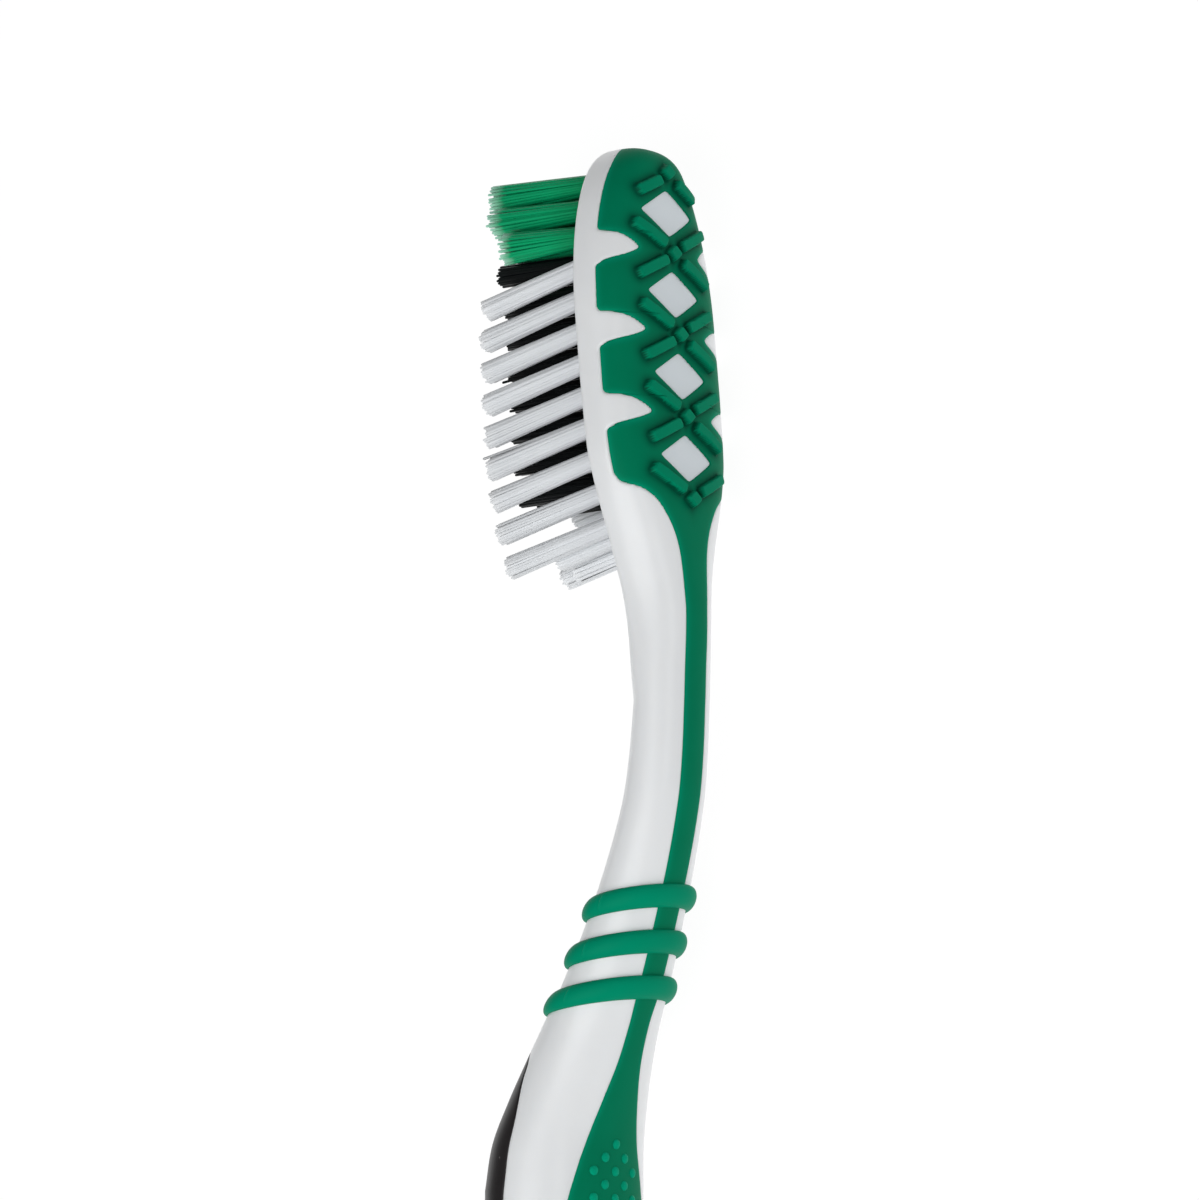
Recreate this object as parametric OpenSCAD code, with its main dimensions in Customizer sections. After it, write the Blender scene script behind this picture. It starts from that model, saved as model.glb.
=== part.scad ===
// Manual toothbrush lying on its side: +X towards the head's tip, +Y towards the bristles, +Z up.
// Two words are used all through: "along" is the distance from the head's tip towards the butt,
// and "set" is how far a point lies behind the handle's axis, on the side away from the bristles.

/* [Whole brush] */
// Length from the butt to the tip of the head
brush_l = 190; // [175:1:210]

/* [Head] */
// Width of the head, and the distance between the flats that the handle rests on
head_w = 14; // [13:0.1:14.2]
// Thickness of the head
head_t = 5.15; // [4.8:0.05:6]
// Length of the head's rounded nose
nose_l = 14.5; // [12:0.1:15]
// Length of the head's parallel stretch
belly_l = 5.5; // [4:0.1:8]
// Lean of the head towards the bristles, in degrees
head_lean = 5.75; // [3:0.25:8]
// How far the tip of the head's front face lies behind the handle's axis
head_set = 5.35; // [4.5:0.05:6.5]

/* [Neck] */
// Distance from the head's parallel stretch to the slimmest place of the neck
shoulder_l = 25; // [22:0.5:30]
// Width of the neck at its slimmest
neck_w = 6.75; // [6:0.05:8.5]
// Thickness of the neck at its slimmest
neck_t = 5.3; // [4.8:0.05:7]
// How far the middle of the neck lies behind the handle's axis
neck_set = 11.36; // [9:0.05:12.5]
// Length of the bend between the neck and the handle
flare_l = 38; // [34:0.5:44]

/* [Handle] */
// Width of the handle at the thumb
handle_w = 13.8; // [13:0.05:14]
// How much wider the handle is behind the thumb, before its sides are cut flat
palm_swell = 0.7; // [0.5:0.05:1.2]
// Distance over which the handle grows to that width
palm_l = 22; // [15:1:30]
// Thickness of the handle from front to back
handle_t = 10.7; // [9.5:0.1:12.5]
// How much further the handle swells to the front under the thumb
thumb_swell = 0.5; // [0:0.05:1]
// Length of the rounded butt
butt_l = 7; // [5:0.5:10]

/* [Soft skins] */
// Thickness of the pad on the back of the head
pad_t = 0.9; // [0.7:0.05:1]
// Thickness of the stripe down the neck
stripe_t = 0.9; // [0.6:0.05:1.2]
// Thickness of the green grip down the handle's back
grip_t = 1.3; // [0.8:0.05:1.8]
// Thickness of the dark thumb grip
thumb_t = 1.5; // [0.8:0.05:2]
// Half width of the stripe down the neck
stripe_half = 1.28; // [0.9:0.02:1.7]
// Half width of the green grip where it is widest
grip_half = 5.4; // [4.6:0.1:5.6]
// Where the pad ends and the stripe starts, along the brush
pad_end = 38; // [36:0.5:42]
// Where the dark grip starts, along the brush
thumb_start = 71.5; // [69:0.5:75]
// Length of the dark grip
thumb_l = 56; // [45:1:65]
// How far the green grip stays from the butt
grip_margin = 9; // [8:0.5:16]
// Gap left at each bonded face
bond_gap = 0.02; // [0.01:0.005:0.04]

/* [Tongue cleaner] */
// Where the first window's middle lies, along the brush
window_first = 5.8; // [5:0.05:6]
// Distance from one window to the next
window_pitch = 6.68; // [6.4:0.02:7]
// Width of a window across the head
window_w = 6; // [5:0.1:6.4]
// Length of a window along the head
window_l = 3.85; // [3:0.05:4.2]
// How deep the windows lie below the pad
window_deep = 0.1; // [0.1:0.05:0.6]
// Width of a raised bar
bar_w = 1.15; // [0.8:0.05:1.3]
// Height of a raised bar above the pad
bar_h = 0.6; // [0.3:0.05:0.8]
// Distance from a crossing to the far end of a bar
bar_reach = 4.6; // [4:0.05:5.5]
// Angle between a bar and a line straight across the head, in degrees
bar_turn = 27; // [25:0.5:32]
// Width of the square knob on a crossing
knob_w = 1.3; // [1:0.05:1.5]
// Gap between a knob and its bars
knob_gap = 0.3; // [0.2:0.05:0.5]
// Length of a white finger along the edge of the pad
finger_l = 2.7; // [2:0.1:3.4]
// Distance from a finger's tip to the head's middle
finger_tip = 3.55; // [3.4:0.05:4.8]
// Distance from a finger's upper root to the crossing beside it
finger_lead = 1.3; // [0.8:0.05:1.5]

/* [Rings and dots] */
// Where the first ring lies, along the brush
ring_first = 60.8; // [59:0.1:62]
// Distance from one ring to the next
ring_pitch = 3.56; // [3:0.02:4.2]
// Width of a ring
ring_w = 1.85; // [1.4:0.05:2.2]
// Height of a ring above the neck
ring_h = 0.6; // [0.4:0.05:0.9]
// How far the rings lean, back higher than front, in degrees
ring_lean = 7.5; // [0:0.5:8]
// How far the rings slant, left side higher than right, in degrees
ring_slant = 3; // [0:0.2:6]
// Gap between a ring and the neck
ring_gap = 0.05; // [0.03:0.01:0.1]
// Diameter of a grip dot
dot_d = 0.8; // [0.5:0.05:0.9]
// Height of a grip dot
dot_h = 0.2; // [0.15:0.05:0.4]
// Distance between two rows of dots
dot_pitch = 1.06; // [0.9:0.02:1.3]
// Distance between neighbouring dots of a row
dot_step = 2.25; // [2.2:0.05:3]
// Number of rows of dots
dot_rows = 19; // [10:1:26]
// Where the first row of dots lies, along the brush
dot_first = 79.5; // [79:0.1:84]

/* [Bristles] */
// Diameter of a tuft
tuft_d = 1.7; // [1.4:0.05:1.8]
// Distance between neighbouring tufts along the head
tuft_pitch = 2.6; // [2.5:0.02:2.7]
// Distance between neighbouring tufts across the head
tuft_step = 2.5; // [2.4:0.02:2.6]
// Free length of a tuft
tuft_l = 10.9; // [9:0.1:12]
// How much longer each side tuft is than the one before it
side_growth = 0.1; // [0:0.02:0.14]
// Free length of the longest tufts at the nose
tip_tuft_l = 12.6; // [11:0.1:13]
// How much shorter each further row of nose tufts is
tip_row_fall = 1.25; // [0.5:0.05:1.5]
// Free length of the short tufts at the heel
heel_tuft_l = 7.6; // [6:0.1:9]
// Lean of the side and heel tufts towards the butt, in degrees from square
side_lean = 5.7; // [2:0.1:7]
// Lean of the inner and nose tufts towards the nose, in degrees from square
inner_lean = 7; // [2:0.1:9]
// Depth of a tuft hole
hole_deep = 2.4; // [2.2:0.05:2.5]
// Space round a tuft in its hole
tuft_fit = 0.03; // [0.02:0.005:0.05]
// Distance from the side tufts' middle to the edge of the head
side_margin = 1.85; // [1.7:0.05:2]
// Number of bristles in a tuft
strands = 7; // [6:1:9]
// Width of a bristle's corner circle
strand_d = 0.4; // [0.3:0.02:0.44]
// How much the cut ends of a tuft vary in length
ragged = 0.4; // [0:0.05:0.8]
// How far a tuft opens towards its end, as a part of its width
splay = 0.22; // [0:0.02:0.4]
// Thickness of a tuft anchor
staple_t = 0.25; // [0.2:0.05:0.35]
// Height of a tuft anchor
staple_h = 1.3; // [1:0.05:1.5]

/* [Hidden] */

white = "#dfe1e3";
green = "#007b55";
dark = "#1e1b1c";
black_filament = "#0e1313";
green_filament = "#0e9666";
white_filament = "#d8dce0";
anchor_metal = "#b9ad86";

// Sample counts round a section
back_n = 12;
side_n = 6;
front_n = 8;
ring_n = 32;
round_n = 14;
root_n = 10;
dot_n = 8;
// One overrun serves all cuts
over = 0.5;

// Main places along the brush
belly_start = nose_l;
belly_end = belly_start + belly_l;
neck_at = belly_end + shoulder_l;
handle_at = neck_at + flare_l;
butt_at = brush_l - butt_l;
thumb_end = thumb_start + thumb_l;
grip_end = brush_l - grip_margin;
pad_start = pad_t / 4;
ring_last = ring_first + 2 * ring_pitch;
stripe_end = ring_last;
head_half = head_w / 2;
front_rise = tan(head_lean);

// Width from the belly to the neck, then from the neck to the handle, as shares of each change
shoulder_shares = [[0, 1], [0.21, 0.94], [0.3, 0.82], [0.4, 0.63], [0.49, 0.44],
  [0.58, 0.27], [0.67, 0.13], [0.8, 0.03], [1, 0]];
flare_shares = [[0, 0], [0.12, 0.015], [0.21, 0.04], [0.33, 0.105], [0.455, 0.2], [0.58, 0.32],
  [0.66, 0.42], [0.74, 0.57], [0.82, 0.75], [0.905, 0.92], [1, 1]];
// How the neck's set falls to nothing along the bend
bend_shares = [[0, 1], [0.12, 0.966], [0.21, 0.919], [0.33, 0.805], [0.455, 0.654],
  [0.58, 0.479], [0.66, 0.346], [0.74, 0.227], [0.82, 0.123], [0.905, 0.035], [1, 0]];
// How the thickness grows along the bend
swell_shares = [[0, 0], [0.21, 0.096], [0.33, 0.19], [0.455, 0.3], [0.58, 0.46], [0.66, 0.57],
  [0.74, 0.68], [0.82, 0.79], [0.905, 0.91], [1, 1]];
// How the head's faces run into the neck's, over the shoulder
heel_share = 0.54;
blend_shares = [[0, 0], [0.25, 0.14], [0.5, 0.5], [0.75, 0.86], [1, 1]];
// The pad's outline from the last finger into the stripe, as shares of its tail and of head_half
tail_start_share = 0.3;
tail_at = belly_end + tail_start_share * shoulder_l;
tail_shares = [[0, 0.9], [0.05, 0.86], [0.085, 0.73], [0.12, 0.6], [0.19, 0.46], [0.34, 0.345],
  [0.5, 0.28], [0.66, 0.235]];
// A finger's outline: place along its root, and how far it reaches towards its tip
finger_shares = [[0, 0], [0.06, 0.42], [0.17, 0.8], [0.34, 1], [0.5, 0.84],
  [0.72, 0.46], [0.92, 0.14], [1, 0]];
rim_share = 0.97;
// The pad's thickness at the very nose, as a share of the whole
nose_pad_share = 0.15;
// The green grip's half width, from the stripe to its widest place
grip_shares = [[0, 0], [0.095, -0.03], [0.22, 0.02], [0.346, 0.19], [0.488, 0.43], [0.55, 0.55],
  [0.68, 0.76], [0.84, 0.92], [1, 1]];
grip_rise_share = 0.63;
grip_wide_at = ring_last + grip_rise_share * flare_l;
// The thumb grip's outline: place along it, and its half width as a share of the handle's
thumb_shares = [[0, 0.2], [0.015, 0.5], [0.035, 0.78], [0.07, 0.96], [0.12, 0.997],
  [0.22, 0.997], [0.32, 0.95], [0.55, 0.92], [0.78, 0.85], [0.92, 0.65], [0.98, 0.4], [1, 0.2]];
// Section corners: 2 is an ellipse, more is squarer
front_corner_shares = [[0, 4.4], [0.6, 4.2], [1, 2]];
back_corner_shares = [[0, 2.8], [0.3, 2.75], [0.62, 2.15], [1, 2]];
handle_corner = 2.15;
// Where the widest place of a section lies, from its front face to its back
head_waist_share = 0.22;
nose_power = 2.3;
nose_back_power = 2.7;
butt_power = 2.4;

// Smooth curve through a table of [place, value] rows
function row_of(t, s, i = 0) = i >= len(t) - 2 || s < t[i + 1][0] ? i : row_of(t, s, i + 1);
function rise(t, i) =
  let (a = max(0, i - 1), b = min(len(t) - 1, i + 1))
  (t[b][1] - t[a][1]) / (t[b][0] - t[a][0]);
function curve(t, s) =
  let (i = row_of(t, s), h = t[i + 1][0] - t[i][0], q = max(0, min(1, (s - t[i][0]) / h)))
  t[i][1] * (1 + 2 * q) * (1 - q) * (1 - q) + h * rise(t, i) * q * (1 - q) * (1 - q)
  + t[i + 1][1] * q * q * (3 - 2 * q) + h * rise(t, i + 1) * q * q * (q - 1);

// Roundings of the nose and the butt
function nose_round(d, p) =
  d < head_t / 2 ? pow(max(0, 1 - pow(1 - 2 * d / head_t, p)), 1 / p) : 1;
function butt_round(d) =
  d > butt_at ? pow(max(0, 1 - pow((d - butt_at) / butt_l, butt_power)), 1 / butt_power) : 1;

// Half width of a section
function half_w(d) =
  d < belly_start ? head_half * pow(max(0, 1 - pow(1 - d / nose_l, 2)), 1 / nose_power)
  : d < belly_end ? head_half
  : d < neck_at ? neck_w / 2
    + (head_half - neck_w / 2) * curve(shoulder_shares, (d - belly_end) / shoulder_l)
  : (neck_w / 2 + (handle_w - neck_w) / 2 * curve(flare_shares, (d - neck_at) / flare_l)
    + palm_swell / 2 * pow(sin(90 * max(0, min(1, (d - handle_at) / palm_l))), 2)) * butt_round(d);

// Front and back faces, as their set behind the handle's axis
heel_at = belly_end + heel_share * shoulder_l;
function head_mix(d) =
  d < heel_at ? 0 : d > neck_at ? 1 : curve(blend_shares, (d - heel_at) / (neck_at - heel_at));
function bend(d) = neck_set * curve(bend_shares, (d - neck_at) / flare_l);
function thick(d) =
  neck_t + (handle_t - neck_t) * curve(swell_shares, (d - neck_at) / flare_l);
function thumb_bulge(d) =
  d < handle_at || d > thumb_end ? 0
  : thumb_swell * pow(sin(180 * (d - handle_at) / (thumb_end - handle_at)), 2);
function front_raw(d) =
  let (m = head_mix(d))
  (1 - m) * (head_set + front_rise * min(d, neck_at))
  + m * (bend(d) - thick(d) / 2 - thumb_bulge(d));
function back_raw(d) =
  let (m = head_mix(d))
  (1 - m) * (head_set + head_t + front_rise * min(d, neck_at)) + m * (bend(d) + thick(d) / 2);
function waist_share(d) = head_waist_share + (0.5 - head_waist_share) * head_mix(d);
function waist(d) = front_raw(d) + waist_share(d) * (back_raw(d) - front_raw(d));
function front_set(d) = waist(d) + (front_raw(d) - waist(d)) * nose_round(d, 2) * butt_round(d);
function back_set(d) =
  waist(d) + (back_raw(d) - waist(d)) * nose_round(d, nose_back_power) * butt_round(d);
function corner(d, back) =
  d < belly_end ? (back ? back_corner_shares[0][1] : front_corner_shares[0][1])
  : d < neck_at ? curve(back ? back_corner_shares : front_corner_shares,
    (d - belly_end) / shoulder_l)
  : back_corner_shares[3][1] + (handle_corner - back_corner_shares[3][1])
    * min(1, (d - neck_at) / flare_l);

// Place of the model: middle of its length, middle of its depth, resting on its flats
all_along = [for (k = [0:100]) brush_l * k / 100];
front_reach = max(max([for (d = all_along) -front_set(d)]),
  tip_tuft_l * cos(inner_lean - head_lean) - head_set);
back_reach = max([for (d = all_along) back_set(d)]);
depth_mid = (back_reach - front_reach) / 2;
function place(d, set, side) = [brush_l / 2 - d, depth_mid - set, head_half + side];

// A point of the skin at section angle t: 0 is the right side, 90 the back, 270 the front.
// sink moves it inwards, square to the section's outline.
function skin_point(d, t, sink = 0) =
  let (back = sin(t) >= 0, n = corner(d, back), a = half_w(d), w = waist(d),
    b = max(bond_gap, back ? back_set(d) - w : w - front_set(d)),
    c = pow(abs(cos(t)), 2 / n) * sign(cos(t)), s = pow(abs(sin(t)), 2 / n) * sign(sin(t)),
    nx = pow(abs(c), n - 1) * sign(c) / a, ny = pow(abs(s), n - 1) * sign(s) / b,
    nl = sqrt(nx * nx + ny * ny))
  place(d, w + b * s - sink * ny / nl, a * c - sink * nx / nl);
// Section angle at which the back or front face reaches a share of the half width
function edge_angle(d, share, back) =
  acos(pow(max(0, min(1, share)), corner(d, back) / 2));

// The green band down the back: half width as a share of the section's, and its thickness
function finger_of(d) =
  [for (k = [1:3]) let (q = (d - (window_first + (k - 0.5) * window_pitch - finger_lead)) / finger_l)
    if (q > 0 && q < 1) q];
function back_share(d) =
  let (a = half_w(d), f = finger_of(d), tail = pad_end - tail_at)
  d < tail_at ? (len(f) == 0 ? rim_share
    : rim_share + (finger_tip / a - rim_share) * curve(finger_shares, f[0]))
  : d < pad_end ? (let (q = (d - tail_at) / tail, last = tail_shares[7])
    q < last[0] ? head_half / a * curve(tail_shares, q)
    : (head_half * last[1] + (stripe_half - head_half * last[1]) * (q - last[0]) / (1 - last[0])) / a)
  : d < ring_last ? stripe_half / a
  : d < grip_wide_at
    ? (stripe_half + (grip_half - stripe_half)
      * curve(grip_shares, (d - ring_last) / (grip_wide_at - ring_last))) / a
  : grip_half / a * (d > butt_at - grip_half
    ? sqrt(max(0, 1 - pow((d - butt_at + grip_half) / (grip_end - butt_at + grip_half), 2))) : 1);
function back_angle(d) = edge_angle(d, back_share(d), true);
function back_sink(d) =
  d < pad_end ? pad_t * min(1, nose_pad_share + (1 - nose_pad_share) * d / (head_t / 2))
  : d < stripe_end ? stripe_t : grip_t;
function thumb_share(d) = curve(thumb_shares, (d - thumb_start) / thumb_l);
function front_angle(d) =
  edge_angle(d, d < thumb_start ? thumb_shares[0][1] * (1 + max(0, min(1, (thumb_start - d) / flare_l)) * 2)
    : d > thumb_end ? thumb_shares[0][1] * (1 + min(1, (d - thumb_end) / palm_l))
    : thumb_share(d), false);

// Stations along the brush, close together where the outline turns quickly
nose_mark_shares = [0.03, 0.09, 0.18, 0.32, 0.52, 0.78];
nose_marks = [for (q = nose_mark_shares) q * window_first];
finger_marks = [for (k = [1:3]) for (f = finger_shares)
  window_first + (k - 0.5) * window_pitch - finger_lead + f[0] * finger_l];
gap_marks = [for (k = [1:3])
  window_first + (k - 0.5) * window_pitch - finger_lead + (finger_l + window_pitch) / 2];
tail_marks = [for (f = tail_shares) tail_at + f[0] * (pad_end - tail_at)];
neck_marks = [for (q = [0.1:0.15:0.9]) pad_end + q * (ring_first - ring_w - pad_end)];
ring_marks = [for (k = [0:2]) for (q = [-0.6, 0, 0.6]) ring_first + k * ring_pitch + q * ring_w];
flare_marks = [for (q = [0.15:0.14:0.9]) ring_last + ring_w + q * (handle_at - ring_last - ring_w)];
thumb_marks = [for (f = thumb_shares) thumb_start + f[0] * thumb_l];
handle_marks = [for (q = [0.06:0.18:0.95]) thumb_end + q * (butt_at - thumb_end)];
butt_marks = [for (q = [0:20:80]) butt_at + butt_l * sin(q)];
grip_marks = [for (q = [0:25:75]) butt_at - grip_half + (grip_end - butt_at + grip_half) * sin(q)];
function sorted(v) = len(v) <= 1 ? v
  : let (p = v[floor(len(v) / 2)]) concat(sorted([for (x = v) if (x < p) x]),
    [p], sorted([for (x = v) if (x > p) x]));
marks = sorted(concat(nose_marks, finger_marks, gap_marks, tail_marks, neck_marks, ring_marks,
  flare_marks, thumb_marks, handle_marks, butt_marks, grip_marks,
  [pad_start, pad_end, grip_end, brush_l - butt_l / 80]));
function marks_in(a, b) = [for (d = marks) if (d > a && d < b) d];

// Closed skin through rings of equal length, with a point at each end. Each four-cornered patch is
// split along its first diagonal, unless the other one is clearly the shorter.
short_share = 0.9;
function flat(v) = [for (r = v) for (p = r) p];
function mean(r) = [for (i = [0:2]) [for (p = r) 1] * [for (p = r) p[i]] / len(r)];
module skin(rings) {
  n = len(rings[0]);
  m = len(rings);
  polyhedron(
    points = concat(flat(rings), [mean(rings[0]), mean(rings[m - 1])]),
    faces = concat(
      [for (j = [0:m - 2]) for (i = [0:n - 1])
        let (k = (i + 1) % n, a = j * n + i, b = j * n + k, c = a + n, e = b + n,
          cross = norm(rings[j][k] - rings[j + 1][i]) < short_share * norm(rings[j][i] - rings[j + 1][k]))
        for (f = [0, 1]) cross ? (f == 0 ? [a, b, c] : [b, e, c]) : (f == 0 ? [a, b, e] : [a, e, c])],
      [for (i = [0:n - 1]) [m * n, (i + 1) % n, i]],
      [for (i = [0:n - 1]) [m * n + 1, (m - 1) * n + i, (m - 1) * n + (i + 1) % n]]));
}
function arc(d, a, b, n, sink = 0) = [for (i = [0:n]) skin_point(d, a + (b - a) * i / n, sink)];

// The core's section, with the beds that the soft skins lie in
function core_ring(d, back_bed, front_bed) =
  let (p = back_angle(d), q = front_angle(d))
  concat(arc(d, p, 180 - p, back_n, back_bed), arc(d, 180 - p, 180 + q, side_n),
    arc(d, 180 + q, 360 - q, front_n, front_bed), arc(d, 360 - q, 360 + p, side_n));
function core_rings() = [for (i = [0:len(marks) - 1])
  let (d = marks[i], back_on = d > pad_start && d < grip_end,
    front_on = d > thumb_start && d < thumb_end,
    b = back_on ? back_sink(d) : 0, f = front_on ? thumb_t : 0,
    step = d == pad_start ? [[0, 0], [back_sink(d), 0]]
      : d == pad_end ? [[pad_t, 0], [stripe_t, 0]]
      : d == stripe_end ? [[stripe_t, 0], [grip_t, 0]]
      : d == grip_end ? [[grip_t, 0], [0, 0]]
      : d == thumb_start ? [[b, 0], [b, thumb_t]]
      : d == thumb_end ? [[b, thumb_t], [b, 0]]
      : [[b, f]])
  for (s = step) core_ring(d, s[0], s[1])];

// A band of skin on the back between two places along the brush
function band_ring(d, middle, half, thick_in, n) =
  let (trim = bond_gap * 180 / (PI * half_w(d)))
  concat(arc(d, middle - half + trim, middle + half - trim, n),
    arc(d, middle + half - trim, middle - half + trim, n, thick_in - bond_gap));
module back_band(a, b) {
  skin([for (d = concat([a + bond_gap], marks_in(a, b), [b - bond_gap]))
    band_ring(d, 90, 90 - back_angle(d), back_sink(d), back_n)]);
}

// Frames on the head: on its back face with z outwards, and at a tuft with z along the tuft
function back_lean(d) = atan((back_set(d + knob_w / 2) - back_set(d - knob_w / 2)) / knob_w);
module on_back(d) {
  translate(place(d, back_set(d), 0)) rotate([0, 0, back_lean(d)]) rotate([90, 0, 0]) children();
}
module at_tuft(spot, lean) {
  translate(place(spot[0], front_set(spot[0]), spot[1])) rotate([0, 0, head_lean + lean])
    rotate([-90, 0, 0]) children();
}

// Tuft places: [along, side]
function side_of(d) = half_w(d) - side_margin;
inner_first_share = 0.541;
tip_pitch_share = 0.9;
side_shift_share = 0.31;
heel_shift_share = 1.1;
inner_first = window_first + inner_first_share * window_pitch;
tip_pitch = tip_pitch_share * tuft_pitch;
tip_spots = [for (r = [1:3]) for (k = [0:r]) [inner_first - (4 - r) * tip_pitch, (k - r / 2) * tuft_step]];
side_spots = [for (k = [0:8]) let (d = inner_first + (k + side_shift_share) * tuft_pitch) [d, side_of(d)]];
inner_spots = [for (k = [0:7]) inner_first + k * tuft_pitch];
heel_spots = [for (k = [-1:1]) [inner_first + (8 + heel_shift_share) * tuft_pitch, k * tuft_step]];
function mirrored(spots) = [for (s = spots) [s[0], -s[1]]];
function column(side) = [for (d = inner_spots) [d, side]];

module holes(spots, lean) {
  for (s = spots) at_tuft(s, lean) translate([0, 0, -hole_deep])
    cylinder(d = tuft_d, h = hole_deep + over, $fn = round_n);
}

// A diamond with short cut corners
function diamond(l, w, cut) = [for (k = [0:3]) for (q = [-1, 1])
  let (a = 90 * k, here = [l / 2 * cos(a), w / 2 * sin(a)],
    b = a + 90 * q, there = [l / 2 * cos(b), w / 2 * sin(b)])
  here + (there - here) * cut];
window_cut_share = 0.07;
knob_cut_share = 0.14;
knob_long_share = 1.25;
knob_wide_share = 1.45;
nose_arm_share = 0.8;
module window_shape(grow = 0) {
  polygon(diamond(window_l + 2 * grow, window_w + 2 * grow, window_cut_share));
}
function window_at(k) = window_first + k * window_pitch;

module handle_core() {
  color(white) difference() {
    union() {
      skin(core_rings());
      for (k = [0:3]) on_back(window_at(k)) translate([0, 0, -2 * pad_t])
        linear_extrude(2 * pad_t - window_deep) window_shape();
    }
    holes(tip_spots, -inner_lean);
    for (side = [-1, 0, 1]) holes(column(side * tuft_step), -inner_lean);
    holes(concat(side_spots, mirrored(side_spots), heel_spots), side_lean);
    for (z = [-handle_w, head_w]) translate([-brush_l / 2, depth_mid - handle_t, z])
      cube([brush_l - handle_at, 2 * handle_t, handle_w]);
  }
}

// A raised bar with round ends, from one distance to another along its own line
module bar(start, end) {
  n = 5;
  polygon([for (e = [0, 1]) for (i = [0:n])
    let (a = 270 + 180 * e + 180 * i / n, c = e == 0 ? end - bar_w / 2 : start + bar_w / 2)
    [c + bar_w / 2 * cos(a), bar_w / 2 * sin(a)]]);
}
module arms(d, way, reach) {
  end = d - way * reach * sin(bar_turn);
  side = reach * cos(bar_turn);
  fall = back_raw(end) - depth_mid + skin_point(end, edge_angle(end, side / half_w(end), true))[1];
  for (s = [-1, 1]) on_back(d) rotate([0, 0, s * (90 - way * bar_turn)])
    rotate([0, atan(fall / reach), 0]) translate([0, 0, -pad_t / 2])
    linear_extrude(pad_t / 2 + bar_h) bar(knob_w / 2 + knob_gap, reach);
}
module knob(d) {
  on_back(d) translate([0, 0, -pad_t / 2]) linear_extrude(pad_t / 2 + bar_h)
    polygon(diamond(knob_long_share * knob_w, knob_wide_share * knob_w, knob_cut_share));
}

function crossing(k) = window_first + (k - 0.5) * window_pitch;
module tongue_cleaner_pad() {
  color(green) {
    difference() {
      back_band(pad_start, pad_end);
      for (k = [0:3]) on_back(window_at(k)) translate([0, 0, -2 * pad_t])
        linear_extrude(4 * pad_t) window_shape(2 * bond_gap);
    }
    for (k = [0:4]) {
      knob(crossing(k));
      if (k > 0) arms(crossing(k), 1, bar_reach);
      if (k < 4) arms(crossing(k), -1, k == 0 ? nose_arm_share * bar_reach : bar_reach);
    }
  }
}

module neck_stripe() {
  color(green) back_band(pad_end, stripe_end);
}

// A half-round ring that follows the neck's outline
function ring_set(k) = waist(ring_first + k * ring_pitch);
function ring_point(k, t, off, up) =
  let (d = ring_first + k * ring_pitch, p = skin_point(d, t),
    lean = tan(ring_lean) * (depth_mid - p[1] - ring_set(k)) - tan(ring_slant) * (p[2] - head_half))
  skin_point(d - lean + off, t, -up);
module neck_ring(k) {
  m = 5;
  profile = concat([for (i = [0:m]) [ring_w / 2 * cos(180 * i / m), ring_gap + ring_h * sin(180 * i / m)]],
    [[0, ring_gap]]);
  p = len(profile);
  color(green) polyhedron(
    points = [for (i = [0:ring_n - 1]) for (q = profile) ring_point(k, 360 * i / ring_n, q[0], q[1])],
    faces = [for (i = [0:ring_n - 1]) for (j = [0:p - 1])
      let (a = i * p + j, b = i * p + (j + 1) % p, ni = (i + 1) % ring_n,
        c = ni * p + (j + 1) % p, e = ni * p + j) for (f = [0, 1]) f == 0 ? [a, b, c] : [a, c, e]]);
}
module neck_ring_upper() { neck_ring(0); }
module neck_ring_middle() { neck_ring(1); }
module neck_ring_lower() { neck_ring(2); }

// Dots in staggered rows, in a field that opens from its first row and closes to its last
function dot_room(d) =
  min(d - dot_first, dot_first + (dot_rows - 1) * dot_pitch - d) * dot_step / 2 / dot_pitch + dot_d / 2;
function dots_of(r) =
  let (d = dot_first + r * dot_pitch, room = min(dot_room(d), half_w(d) * back_share(d) - dot_d))
  [for (k = [-2:2]) let (side = (k + (r % 2) / 2) * dot_step) if (abs(side) <= room) side];
module dot(d, side) {
  share = side / half_w(d);
  t = share < 0 ? 180 - edge_angle(d, -share, true) : edge_angle(d, share, true);
  p = skin_point(d, t);
  q = skin_point(d, t, -dot_h);
  translate(p) rotate([atan2(q[2] - p[2], q[1] - p[1]) - 90, 0, 0]) translate([0, 0, -dot_h])
    cylinder(d = dot_d, h = 2 * dot_h, $fn = dot_n);
}
module back_grip() {
  color(green) {
    back_band(stripe_end, grip_end);
    for (r = [0:dot_rows - 1]) for (side = dots_of(r)) dot(dot_first + r * dot_pitch, side);
  }
}

module thumb_grip() {
  color(dark) skin([for (d = concat([thumb_start + bond_gap], marks_in(thumb_start, thumb_end),
    [thumb_end - bond_gap])) band_ring(d, 270, 90 - front_angle(d), thumb_t, front_n)]);
}

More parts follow.
